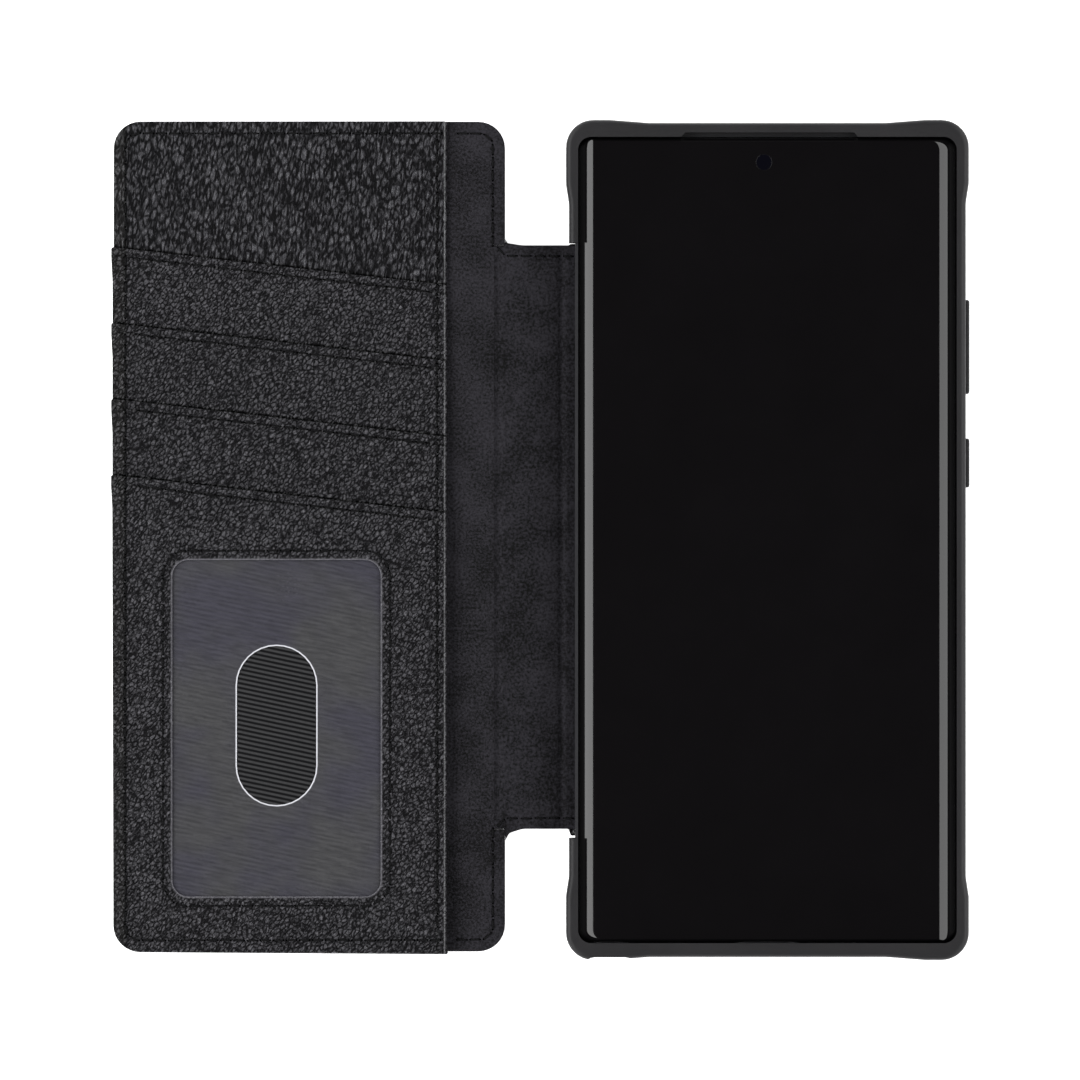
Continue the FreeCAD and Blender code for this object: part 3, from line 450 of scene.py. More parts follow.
FOLD_GAP = 0.04
NOTCH_ROUND = 0.5
cover_edge = cover_high.x - 0.1
notch_low, notch_high = fold_low.y - FOLD_GAP, fold_high.y + FOLD_GAP
cover_corners = [
    (cover_low.x, cover_low.y, CORNER),
    (cover_edge, cover_low.y, CORNER),
    (cover_edge, notch_low, NOTCH_ROUND),
    (fold_low.x, notch_low, 0),
    (fold_low.x, notch_high, 0),
    (cover_edge, notch_high, NOTCH_ROUND),
    (cover_edge, cover_high.y, CORNER),
    (cover_low.x, cover_high.y, CORNER),
]
cover_shares = [1, 1, 0, 0, 0, 1, 1, 1]
outer_cover = sheet("outer_leather_cover", [(cover_corners, cover_shares, leather_profile)])

# %% [markdown]
# ## Lining
# Charcoal microfibre covers the inside. It is glued over thin boards, so it lies nearly flat, but it
# sinks in a soft crease along both folds and rises a little where the cover's thicker board begins.

# %% Lining
LINING_RIM = 0.35
SPINE_SEAM = 2.2
BOARD_INSET = 3.5
LINING = 0.4
LINING_STEP = 2.5
SPINE_GROOVE = 0.12
COVER_GROOVE = 0.14
CREASES = (fold_low.x + 0.75, tray_fold_low.x - 0.1)
CREASE_DEEP = 0.34


def felt(x, y):
    """The small unevenness of glued microfibre."""
    return 0.05 * noise.noise(Vector((x / 7, y / 9, 3.1))) + 0.03 * noise.noise(Vector((x / 2.5, y / 3, 8)))


def spine_relief(x, y, share):
    ends = smooth_step(min(fold_high.y - y, y - fold_low.y) / 3)
    lift = felt(x, y) * ends
    for crease in CREASES:
        lift -= CREASE_DEEP * dip(x - crease, 0.55) * ends
        lift += 0.12 * dip(x - crease - 1.3, 0.7) * ends
    return lift * share


def fold_relief(x, y, share):
    rise = (cover_top - spine_top) * smooth_step((fold_low.x + 1.6 - x) / 1.6)
    return spine_relief(x, y, share) + rise * share


def cover_relief(x, y, share):
    inside = min(x - cover_low.x, cover_high.x - x, y - cover_low.y, cover_high.y - y)
    return felt(x, y) * share * smooth_step((inside - 1) / 2)


def lining_profile(top, groove):
    """A rim with room below for the board, which lies inside the seam."""
    recess = (BOARD_INSET, top - LINING)
    return rim_profile(leather_top, top, LINING_RIM, STITCH_INSET, groove, recess=recess)


spine_profile = lining_profile(spine_top, SPINE_GROOVE)
spine_share = SPINE_SEAM / STITCH_INSET
spine_corners = spine_end(fold_low.y, -1, WEB_LOW) + [
    (tray_fold_high.x, fold_low.y, 0),
    (tray_fold_high.x, fold_high.y, 0),
] + spine_end(fold_high.y, 1, WEB_HIGH)[::-1]
spine_shares = [spine_share] * 3 + [0] + [spine_share] * 3 + [0]
spine_cuts = grid((fold_high.x, fold_low.y), (tray_fold_high.x, fold_high.y), BEND_STEP, LINING_STEP)
lining_spine = sheet("lining_spine", [(spine_corners, spine_shares, spine_profile)], spine_cuts, spine_relief)
lining_fold = sheet(
    "lining_fold",
    [(fold_corners, [spine_share, 0, spine_share, 0], spine_profile)],
    cover_fold_cuts + grid_lines("y", fold_low.y, fold_high.y, LINING_STEP),
    fold_relief,
)
cover_profile = lining_profile(cover_top, COVER_GROOVE)
lining_cuts = grid((panel_high.x - 3, cover_low.y), (fold_low.x, cover_high.y), 1.0, LINING_STEP)
cover_wall = (cover_corners, cover_shares, cover_profile)
lining_cover = sheet("lining_cover", [cover_wall], lining_cuts, cover_relief)

# %% [markdown]
# ## Wallet panel and pockets
# The wallet is five pieces of leather, each cut a little shorter than the one under it. Each mouth
# slants, is turned under as a hem and sewn down 1.7 mm from its fold, so it shows a raised band with
# a crease below it. All five share one drape function, so they swell and sink together as a stack
# does and never cut through each other. A mouth also gapes slightly, which gives the dark line that
# tells the eye there is a pocket; the leather's finish deepens that line with painted shadow.

# %% Drape of the stack
PANEL_RIM = 0.24
PANEL_SEAM = 1.9
HEM_SEAM = 1.7
seam_left = cover_low.x + STITCH_INSET
seam_right = panel_high.x - PANEL_SEAM
seam_low = cover_low.y + STITCH_INSET
seam_high = cover_high.y - STITCH_INSET
SWELL = 0.33


def between_seams(x):
    """0 at the stack's side seams, rising to 1 inside them."""
    return smooth_step(min(x - seam_left, seam_right - x) / 5)


def drape(x, y):
    """How far the stack swells between its seams."""
    along = smooth_step(min(y - seam_low, seam_high - y) / 7)
    wave = noise.noise(Vector((x / 16, y / 11, 0.4))) + 0.4 * noise.noise(Vector((x / 5, y / 6, 5.2)))
    return SWELL * between_seams(x) * along * (0.62 + 0.38 * wave)


# %% [markdown]
# The fold of the big panel stands a touch proud of the cover at its top and bottom, and flares at
# the foot, because doubled leather won't lie as flat as the single sheet beside it.

# %% Wallet panel
PANEL_LEATHER = 0.5
PANEL_GROOVE = 0.16
PANEL_STEP = 2.2
FLARE_OUT = 0.3
FLARE_LONG = 4.5
PARED_ROUND = 0.4
panel_corners = [
    (panel_low.x, cover_low.y - 0.1, CORNER),
    (panel_high.x + FLARE_OUT, panel_low.y, PARED_ROUND),
    (panel_high.x, panel_low.y + FLARE_LONG, 0),
    (panel_high.x, panel_high.y, 0.5),
    (panel_low.x, panel_high.y - 0.05, CORNER),
]
panel_share = PANEL_SEAM / STITCH_INSET
panel_profile = rim_profile(panel_high.z - PANEL_LEATHER, panel_high.z, PANEL_RIM, STITCH_INSET, PANEL_GROOVE)
panel_cuts = grid(panel_low, panel_high, PANEL_STEP, PANEL_STEP)
wallet = [
    sheet(
        "wallet_panel_leather",
        [(panel_corners, [1, panel_share, panel_share, 1, 1], panel_profile)],
        panel_cuts,
        lambda x, y, share: drape(x, y),
    )
]

# %% [markdown]
# A pocket is cut like the panel, but its top side slants and its left end shows the folded hem. Only
# the strip near the mouth needs a fine grid, since the rest is hidden under the next pocket.

# %% Pockets
pocket_nodes = ["card_pocket_1", "card_pocket_2", "card_pocket_3", "window_pocket"]
MOUTH_DROP = 7.8
HEM_LIFT = 0.06
MOUTH_ZONE = 30
POCKET_STEP = 1.6
HEM_BAND = 2.4
EAR = 0.5
GAPE = 0.16


def mouth_height(node, x):
    """The mouth's place along Y at a place along X."""
    low, high = span(node)
    return high.y - MOUTH_DROP * (x - low.x) / (high.x - low.x)


def pocket_corners(node):
    """A pocket whose folded hem sticks out a little at its left end."""
    low, high = span(node)
    right_mouth = mouth_height(node, high.x)
    return [
        (low.x + EAR, cover_low.y, CORNER),
        (high.x, low.y + 0.25, PARED_ROUND),
        (high.x, right_mouth, 0.35),
        (low.x, high.y, PARED_ROUND),
        (low.x, high.y - HEM_BAND, 0),
        (low.x + EAR * 0.5, high.y - 7, 0),
    ]


def pocket_relief(node):
    def lift(x, y, share):
        below = mouth_height(node, x) - y
        wave = 0.6 + 0.8 * noise.noise(Vector((x / 9, below / 20, 11.3 + pocket_nodes.index(node))))
        gape = GAPE * wave * between_seams(x) * dip(below, 2.2)
        return drape(x, y) + gape + HEM_LIFT * dip(below - 0.8, 0.7) * share

    return lift


def pocket_walls(node):
    low, high = span(node)
    radius = min(PANEL_RIM, (high.z - low.z) * 0.45)
    profile = rim_profile(low.z, high.z, radius, STITCH_INSET, PANEL_GROOVE)
    return (pocket_corners(node), [1, panel_share, HEM_SEAM / STITCH_INSET, 1, 1, 1], profile)


for node in pocket_nodes[:-1]:
    low, high = span(node)
    cuts = grid((low.x, high.y - MOUTH_ZONE), high, 2.0, POCKET_STEP)
    wallet.append(sheet(node + "_leather", [pocket_walls(node)], cuts, pocket_relief(node)))

# %% [markdown]
# ## Window pocket
# The front pocket is thicker, because film and ribbed cloth are sewn in behind its opening. The
# opening is a second wall that runs the other way round, with its own seam 1.9 mm outside it.

# %% Window pocket
film_low, film_high = span("window_film")
FILM_LAP = 3.0
WINDOW_CORNER = 3.3
WINDOW_RIM = 0.22
window_left, window_right = film_low.x + FILM_LAP, film_high.x - FILM_LAP
window_foot, window_head = film_low.y + FILM_LAP, film_high.y - FILM_LAP
opening = hole_block((window_left, window_foot), (window_right, window_head), WINDOW_CORNER)
opening_profile = rim_profile(film_high.z - 0.02, window_high.z, WINDOW_RIM, STITCH_INSET, PANEL_GROOVE)
wallet.append(
    sheet(
        "window_pocket_leather",
        [pocket_walls("window_pocket"), (opening, [panel_share] * 4, opening_profile, PALE)],
        grid(window_low, window_high, POCKET_STEP, POCKET_STEP),
        pocket_relief("window_pocket"),
    )
)

# %% [markdown]
# The film is a thin springy sheet with a slot for the thumb. The cloth behind it is ribbed, and the
# ribs slope gently down to the right. They are real corrugations, made as a sheared grid that is
# trimmed square, because the slot shows them without any film.

# %% Film and ribbed cloth
THUMB_WIDE = 16.3
THUMB_LONG = 32.7
THUMB_RISE = 0.55
FILM_CORNER = 2
FILM_RIM = 0.06
FILM_STEP = 2.5
thumb_x = (film_low.x + film_high.x) / 2
thumb_y = (film_low.y + film_high.y) / 2 + THUMB_RISE
slot_low = (thumb_x - THUMB_WIDE / 2, thumb_y - THUMB_LONG / 2)
slot_high = (thumb_x + THUMB_WIDE / 2, thumb_y + THUMB_LONG / 2)
film_profile = rim_profile(film_low.z, film_high.z, FILM_RIM)
film = sheet(
    "film_sheet",
    [
        (block(film_low, film_high, FILM_CORNER), [1] * 4, film_profile),
        (hole_block(slot_low, slot_high, THUMB_WIDE / 2 - 0.01), [1] * 4, film_profile, PALE),
    ],
    grid(film_low, film_high, FILM_STEP, FILM_STEP),
    lambda x, y, share: drape(x, y),
)

RIB_PITCH = 0.95
RIB_SLOPE = math.tan(math.radians(12))
RIB_DEEP = 0.09
RIB_SUNK = 0.08
RIB_SAMPLES = 6
RIB_COLUMNS = 24
CLOTH_THICK = 0.04
cloth_low, cloth_high = span("window_lining")


def ribbed_cloth():
    mesh = new_mesh()
    crest = mesh.verts.layers.float["rim"]
    wide = cloth_high.x - cloth_low.x
    spare_rows = RIB_SLOPE * wide
    first = cloth_low.y - spare_rows
    row_pitch = RIB_PITCH / RIB_SAMPLES
    rows = int((cloth_high.y + spare_rows - first) / row_pitch)
    lines = []
    for row in range(rows + 1):
        wave = 0.5 + 0.5 * math.cos(2 * math.pi * row / RIB_SAMPLES)
        line = []
        for column in range(RIB_COLUMNS + 1):
            x = cloth_low.x + wide * column / RIB_COLUMNS
            y = first + row * row_pitch - RIB_SLOPE * (x - cloth_low.x - wide / 2)
            z = cloth_high.z - RIB_SUNK - RIB_DEEP * (1 - wave) + drape(x, y)
            vertex = mesh.verts.new((x, y, z))
            vertex[crest] = wave
            line.append(vertex)
        lines.append(line)
    for lower, upper in zip(lines, lines[1:]):
        for column in range(RIB_COLUMNS):
            mesh.faces.new((lower[column], lower[column + 1], upper[column + 1], upper[column]))
    for edge_y, side in ((cloth_low.y, -1), (cloth_high.y, 1)):
        geometry = list(mesh.verts) + list(mesh.edges) + list(mesh.faces)
        bmesh.ops.bisect_plane(
            mesh, geom=geometry, plane_co=(0, edge_y, 0), plane_no=(0, side, 0), clear_outer=True
        )
    piece = finish_mesh(mesh, "ribbed_cloth", 80)
    thick = piece.modifiers.new("thickness", "SOLIDIFY")
    thick.thickness = CLOTH_THICK * MM
    thick.offset = -1
    return piece


ribbed = ribbed_cloth()

# %% [markdown]
# ## Stitches
# A lockstitch shows as short beads of thread, each sunk a little at both ends where it goes through
# its hole. Every bead is a small tapered capsule. To seat one, a ray is dropped from above on to the
# pieces already made, so the beads follow the swell of the leather and step down at each mouth.

# %% One stitch
STITCH_PITCH = 2.7
STITCH_LONG = 1.9
STITCH_RADIUS = 0.21
HOLE_RADIUS = 0.27
FELT_HOLE = 0.2
HOLE_SIDES = 8
HOLE_LIFT = 0.03
UP = Vector((0, 0, 1))
BEAD_SIDES = 7
BEAD_HALF = ((0.5, 0.35, -0.1), (0.42, 0.85, 0.0), (0.2, 1.0, 0.05))
BEAD_RINGS = [(-reach, width, lift) for reach, width, lift in BEAD_HALF] + list(BEAD_HALF[::-1])


def bead(mesh, place, along, up):
    """A stitch at a place, lying along a direction."""
    aside = along.cross(up).normalized()
    rings = []
    for reach, width, lift in BEAD_RINGS:
        centre = place + along * reach * STITCH_LONG + up * lift
        ring = []
        for side in range(BEAD_SIDES):
            angle = 2 * math.pi * side / BEAD_SIDES
            offset = aside * math.cos(angle) + up * math.sin(angle) * 0.85
            ring.append(mesh.verts.new(centre + offset * STITCH_RADIUS * width))
        rings.append(ring)
    join_loops(mesh, rings)
    mesh.faces.new(rings[0])
    mesh.faces.new(rings[-1])


def needle_hole(mesh, place, radius):
    """The dark dimple round a needle hole: a flat low cone, in the second material."""
    ring = []
    for side in range(HOLE_SIDES):
        angle = 2 * math.pi * side / HOLE_SIDES
        ring.append(mesh.verts.new(place + Vector((math.cos(angle), math.sin(angle), 0)) * radius))
    foot = mesh.verts.new(place - UP * 0.05)
    tip = mesh.verts.new(place + UP * 0.02)
    for side in range(HOLE_SIDES):
        after = (side + 1) % HOLE_SIDES
        mesh.faces.new((ring[side], ring[after], tip)).material_index = 1
        mesh.faces.new((ring[after], ring[side], foot)).material_index = 1


def walk(points, closed=False):
    """Places for stitches along a path, evenly spaced, each with its direction."""
    points = [Vector(point[:2]) for point in points]
    if closed:
        points.append(points[0])
    runs = [(b - a).length for a, b in zip(points, points[1:])]
    total = sum(runs)
    count = round(total / STITCH_PITCH)
    found = []
    for number in range(count):
        target = (number + 0.5) * total / count
        index = 0
        while index < len(runs) - 1 and target > runs[index]:
            target -= runs[index]
            index += 1
        direction = (points[index + 1] - points[index]).normalized()
        found.append((points[index] + direction * target, direction))
    return found


def surface_of(pieces):
    """A tree over the pieces' faces, for dropping rays on to."""
    points, faces = [], []
    for piece in pieces:
        start = len(points)
        points += [vertex.co / MM for vertex in piece.data.vertices]
        faces += [[start + index for index in polygon.vertices] for polygon in piece.data.polygons]
    return BVHTree.FromPolygons(points, faces)


WANDER = 0.06
STEEPEST = 0.3
BEAD_SHARP = 60


def sew(name, places, surface, sunk=0.1, hole=HOLE_RADIUS):
    """Beads of thread at the places, seated on the surface below each."""
    mesh = new_mesh()
    for place, direction in places:
        jitter = direction.orthogonal() * random.uniform(-WANDER, WANDER)
        start = Vector((*place, 20)) + jitter.to_3d()
        steps = [direction.to_3d() * STITCH_LONG * reach for reach in (-0.5, 0, 0.5)]
        hits = [surface.ray_cast(start + step, -UP)[0] for step in steps]
        if None in hits or abs(hits[2].z - hits[0].z) > STEEPEST:
            continue
        along = (hits[2] - hits[0]).normalized()
        up = direction.orthogonal().to_3d().cross(along)
        if up.z < 0:
            up = -up
        middle = (hits[0] + hits[2]) / 2
        middle.z = max(middle.z, hits[1].z)
        bead(mesh, middle + UP * (STITCH_RADIUS - sunk), along, up)
        for end in (hits[0], hits[2]):
            needle_hole(mesh, end + UP * HOLE_LIFT, hole)
    return finish_mesh(mesh, name, BEAD_SHARP)


# %% [markdown]
# The seams are the outline again, drawn further in. The cover's own row turns into the spine's end
# rows with a short diagonal, as the machine does when the work is swung round without cutting thread.

# %% Seams
wallet_surface = surface_of([lining_cover] + wallet)
lining_surface = surface_of([lining_cover, lining_fold, lining_spine])
FOLD_ROW = 0.2
TURN_RISE = 0.6
SPINE_ROW_END = 1.8
right_column = cover_high.x - STITCH_INSET - FOLD_ROW
seam_radius = CORNER - STITCH_INSET
spine_row_top = fold_high.y - SPINE_SEAM
spine_row_low = fold_low.y + SPINE_SEAM
seam_box = block((seam_left, seam_low), (right_column, seam_high), seam_radius)
round_cover = ring_points(seam_box, [1] * 4, 0)
quarter = ARC_STEPS + 1
arcs = [round_cover[n * quarter:(n + 1) * quarter] for n in range(4)]
lower_left, lower_right, upper_right, upper_left = arcs
cover_path = [(fold_high.x, spine_row_top), (right_column, fold_high.y + TURN_RISE)]
cover_path += upper_right + upper_left + lower_left + lower_right
cover_path += [(right_column, fold_low.y - TURN_RISE), (fold_high.x, spine_row_low)]
cover_places = walk(cover_path)
on_cover = [place for place in cover_places if place[0].x < fold_low.x]
on_fold = [place for place in cover_places if place[0].x >= fold_low.x]
cover_stitches = sew("cover_stitches", on_cover, wallet_surface)
fold_stitches = sew("fold_stitches", on_fold, lining_surface, hole=FELT_HOLE)
spine_places = []
for row in (spine_row_top, spine_row_low):
    spine_places += walk([(fold_high.x, row), (tray_fold_high.x - SPINE_ROW_END, row)])
spine_stitches = sew("spine_stitches", spine_places, lining_surface, hole=FELT_HOLE)
panel_row = [(seam_right, seam_low + STITCH_INSET), (seam_right, seam_high - 1)]
panel_stitches = sew("panel_stitches", walk(panel_row), wallet_surface)

hem_places = []
for node in pocket_nodes:
    row = [(x, mouth_height(node, x) - HEM_SEAM) for x in (seam_left + 2.5, seam_right - 2)]
    hem_places += walk(row)
hem_stitches = sew("hem_stitches", hem_places, wallet_surface, 0.2)

window_row = block(
    (window_left - PANEL_SEAM, window_foot - PANEL_SEAM),
    (window_right + PANEL_SEAM, window_head + PANEL_SEAM),
    WINDOW_CORNER + PANEL_SEAM,
)
window_path = ring_points(window_row, [1] * 4, 0)
window_stitches = sew("window_stitches", walk(window_path, closed=True), wallet_surface)

# %% [markdown]
# The same seams come out on the outside of the cover. There the thread lies in a groove pressed into
# the leather, so the case can slide on a table without wearing it through.

# %% Stitches on the outside
UNDER_HEIGHT = 0.26
outside_box = block((seam_left, seam_low), (cover_high.x - STITCH_INSET, seam_high), seam_radius)
band_low, band_high = fold_low.y - STITCH_INSET, fold_high.y + STITCH_INSET
outside = new_mesh()
for place, direction in walk(ring_points(outside_box, [1] * 4, 0), closed=True):
    if place.x < fold_low.x - 1 or not band_low < place.y < band_high:
        bead(outside, Vector((*place, UNDER_HEIGHT)), direction.to_3d(), -UP)
outer_stitches = finish_mesh(outside, "outer_cover_stitches", BEAD_SHARP)

# %% [markdown]
# ## Glass
# The screen is flat in the middle and rolls over at its long sides, so its rings move in much faster
# there than at the ends. The roll is an arc of 7.8 mm, which turns the glass far enough to mirror
# the soft boxes in two narrow strips.

# %% Screen
ROLL_RADIUS = 7.8
ROLL_REACH = 4.8
ROLL_STEPS = 20
END_SHARE = 0.16
GLASS_EDGE = 0.2
GLASS_CORNER = 2.5
screen_low, screen_high = span("handset_screen")
camera_low, camera_high = span("handset_front_camera")
roll_angle = math.asin(ROLL_REACH / ROLL_RADIUS)
roll_profile = [(0.0, screen_low.z), (0.0, screen_low.z + GLASS_EDGE)]
for step in range(ROLL_STEPS + 1):
    angle = roll_angle * (1 - step / ROLL_STEPS)
    drop = ROLL_RADIUS * (1 - math.cos(angle))
    roll_profile.append((ROLL_REACH - ROLL_RADIUS * math.sin(angle), screen_high.z - drop))
screen_corners = block(screen_low, screen_high, GLASS_CORNER)
lens_hole = hole_block(camera_low, camera_high, (camera_high.x - camera_low.x) / 2 - 0.01)
lens_profile = [(0.0, screen_low.z), (0.0, screen_high.z - 0.05), (0.05, screen_high.z)]
screen = sheet(
    "screen_glass",
    [
        (screen_corners, [END_SHARE, 1, END_SHARE, 1], roll_profile),
        (lens_hole, [1] * 4, lens_profile),
    ],
)

# %% [markdown]
# ## Finishes
# Every finish is a small tree of nodes on one shader. Object coordinates times a thousand give the
# textures a millimetre scale, and since the pieces lie in one frame, a grain that crosses from one
# to the next carries on without a break.

# %% Shader helpers
TO_MM = 1 / MM


def tint(colour, factor):
    """The colour, lighter or darker by a factor."""
    return tuple(value * factor for value in colour)


class Finish:
    """One material and the few nodes that its texture needs."""

    def __init__(self, name, colour, roughness, **sockets):
        self.material = bpy.data.materials.new(name)
        self.material.use_nodes = True
        self.tree = self.material.node_tree
        self.shader = self.tree.nodes["Principled BSDF"]
        self.set("Base Color", (*colour, 1))
        self.set("Roughness", roughness)
        for socket, value in sockets.items():
            self.set(socket.replace("_", " "), value)

    def set(self, socket, value):
        self.shader.inputs[socket].default_value = value

    def node(self, kind, **inputs):
        made = self.tree.nodes.new(kind)
        for socket, value in inputs.items():
            made.inputs[socket.replace("_", " ")].default_value = value
        return made

    def link(self, source, target):
        self.tree.links.new(source, target)

    def place(self, scale=(1, 1, 1), turn=0.0):
        """Object coordinates in millimetres, stretched and turned about Z."""
        coordinates = self.tree.nodes.new("ShaderNodeTexCoord")
        turned = self.node("ShaderNodeMapping", Rotation=(0, 0, math.radians(turn)))
        mapping = self.node("ShaderNodeMapping", Scale=tuple(value * TO_MM for value in scale))
        self.link(coordinates.outputs["Object"], turned.inputs["Vector"])
        self.link(turned.outputs["Vector"], mapping.inputs["Vector"])
        return mapping.outputs["Vector"]

    def noise(self, vector, scale, detail=2.0, roughness=0.5):
        made = self.node("ShaderNodeTexNoise", Scale=scale, Detail=detail, Roughness=roughness)
        self.link(vector, made.inputs["Vector"])
        return made.outputs["Fac"]

    def warped(self, vector, scale, amount):
        """The vector pushed about by a noise, so that cells lose their straight sides."""
        made = self.node("ShaderNodeTexNoise", Scale=scale, Detail=2.0)
        self.link(vector, made.inputs["Vector"])
        centred = self.math("SUBTRACT", made.outputs["Color"], (0.5, 0.5, 0.5), vector=True)
        pushed = self.math("MULTIPLY", centred, (amount, amount, amount), vector=True)
        return self.math("ADD", vector, pushed, vector=True)

    def cells(self, vector, scale):
        """How far a place is from the nearest border between two cells."""
        made = self.node("ShaderNodeTexVoronoi", Scale=scale, Randomness=1.0)
        made.feature = "DISTANCE_TO_EDGE"
        self.link(vector, made.inputs["Vector"])
        return made.outputs["Distance"]

    def math(self, operation, first, second, vector=False):
        made = self.tree.nodes.new("ShaderNodeVectorMath" if vector else "ShaderNodeMath")
        made.operation = operation
        for index, value in enumerate((first, second)):
            if isinstance(value, bpy.types.NodeSocket):
                self.link(value, made.inputs[index])
            else:
                made.inputs[index].default_value = value
        return made.outputs[0]

    def times(self, first, second):
        return self.math("MULTIPLY", first, second)

    def plus(self, first, second):
        return self.math("ADD", first, second)

    def curve(self, value, from_low, from_high, to_low=0.0, to_high=1.0, smooth=True):
        made = self.tree.nodes.new("ShaderNodeMapRange")
        made.interpolation_type = "SMOOTHSTEP" if smooth else "LINEAR"
        for index, number in enumerate((from_low, from_high, to_low, to_high), 1):
            made.inputs[index].default_value = number
        self.link(value, made.inputs[0])
        return made.outputs[0]

    def band(self, value, middle, width):
        """1 where the value is at the middle, falling to 0 at the width on each side."""
        aside = self.math("ABSOLUTE", self.math("SUBTRACT", value, middle), 0.0)
        return self.curve(aside, 0.0, width, 1.0, 0.0)

    def colours(self, value, low, high):
        made = self.tree.nodes.new("ShaderNodeValToRGB")
        made.color_ramp.elements[0].color = (*low, 1)
        made.color_ramp.elements[1].color = (*high, 1)
        self.link(value, made.inputs[0])
        return made.outputs["Color"]

    def rim(self):
        """1 at a sheet's cut edge, falling to 0 a little way in."""
        made = self.tree.nodes.new("ShaderNodeAttribute")
        made.attribute_name = "rim"
        return made.outputs["Fac"]

    def mix(self, share, first, second):
        """A share of the second colour over the first."""
        made = self.tree.nodes.new("ShaderNodeMix")
        made.data_type = "RGBA"
        self.link(share, made.inputs["Factor"])
        for socket, value in ((made.inputs[6], first), (made.inputs[7], second)):
            if isinstance(value, bpy.types.NodeSocket):
                self.link(value, socket)
            else:
                socket.default_value = (*value, 1)
        return made.outputs[2]

    def use(self, socket, value):
        self.link(value, self.shader.inputs[socket])

    def bump(self, height, depth):
        """Tilts the surface as a height of so many millimetres would."""
        made = self.node("ShaderNodeBump", Strength=1.0, Distance=depth * MM)
        self.link(height, made.inputs["Height"])
        self.use("Normal", made.outputs["Normal"])


# %% [markdown]
# Pebbled leather is a skin of small domes with creases between them. A cell texture's distance to
# its cell edges gives both at once: flat-topped domes and sharp creases. The vector is pushed about
# by a noise first, so the creases wander. A stretched noise adds the short strokes that printed
# leather has along one direction. The creases are painted nearly black as painted shade, and duller;
# the tops keep the leather's colour, partly painted highlight, and are rubbed smooth, so they catch
# more light.

# %% Leather


def wallet_marks(finish):
    """Masks that follow the wallet's lines: painted shade at the mouths, hem creases and seams, the pared
    border, and a painted highlight on the folded edge.
    """
    split = finish.node("ShaderNodeSeparateXYZ")
    finish.link(finish.place(), split.inputs[0])
    across, up = split.outputs["X"], split.outputs["Y"]
    first_low, first_high = span(pocket_nodes[0])
    second_high = span(pocket_nodes[1])[1]
    pitch = first_high.y - second_high.y
    slope = MOUTH_DROP / (first_high.x - first_low.x)
    fallen = finish.plus(finish.times(across, slope), up)
    below = finish.math("SUBTRACT", first_high.y + slope * first_low.x, fallen)
    turns = finish.math("DIVIDE", below, pitch)
    inside = finish.times(finish.math("FRACT", turns, 0.0), pitch)
    last = len(pocket_nodes) - 1
    above_last = finish.curve(turns, last, last + 0.01, 1.0, 0.0)
    # Painted shadow: a black line just above each pocket's mouth.
    shadow = finish.times(finish.curve(inside, pitch - 0.75, pitch - 0.1), above_last)
    shadow = finish.times(shadow, finish.curve(turns, -0.1, -0.09))
    in_pocket = finish.curve(turns, 0.0, 0.01)
    not_after = finish.curve(turns, last + 0.3, last + 0.31, 1.0, 0.0)
    # Painted shade along each hem's sewn crease.
    crease = finish.times(finish.band(inside, HEM_SEAM + 0.1, 0.45), in_pocket)
    crease = finish.times(finish.times(crease, not_after), 0.7)
    dark = finish.math("MAXIMUM", shadow, crease)
    # Painted shade in the groove of each side seam.
    seams = finish.math("MAXIMUM", finish.band(across, seam_left, 0.5), finish.band(across, seam_right, 0.5))
    dark = finish.math("MAXIMUM", dark, finish.times(seams, 0.6))
    border = finish.curve(across, seam_left - 0.2, seam_left + 0.4, 1.0, 0.0)
    # Painted highlight: a pale line along the panel's folded edge.
    fold = finish.band(across, panel_high.x - 0.4, 0.26)
    return dark, border, fold


TOPS = (0.5, 1.55)


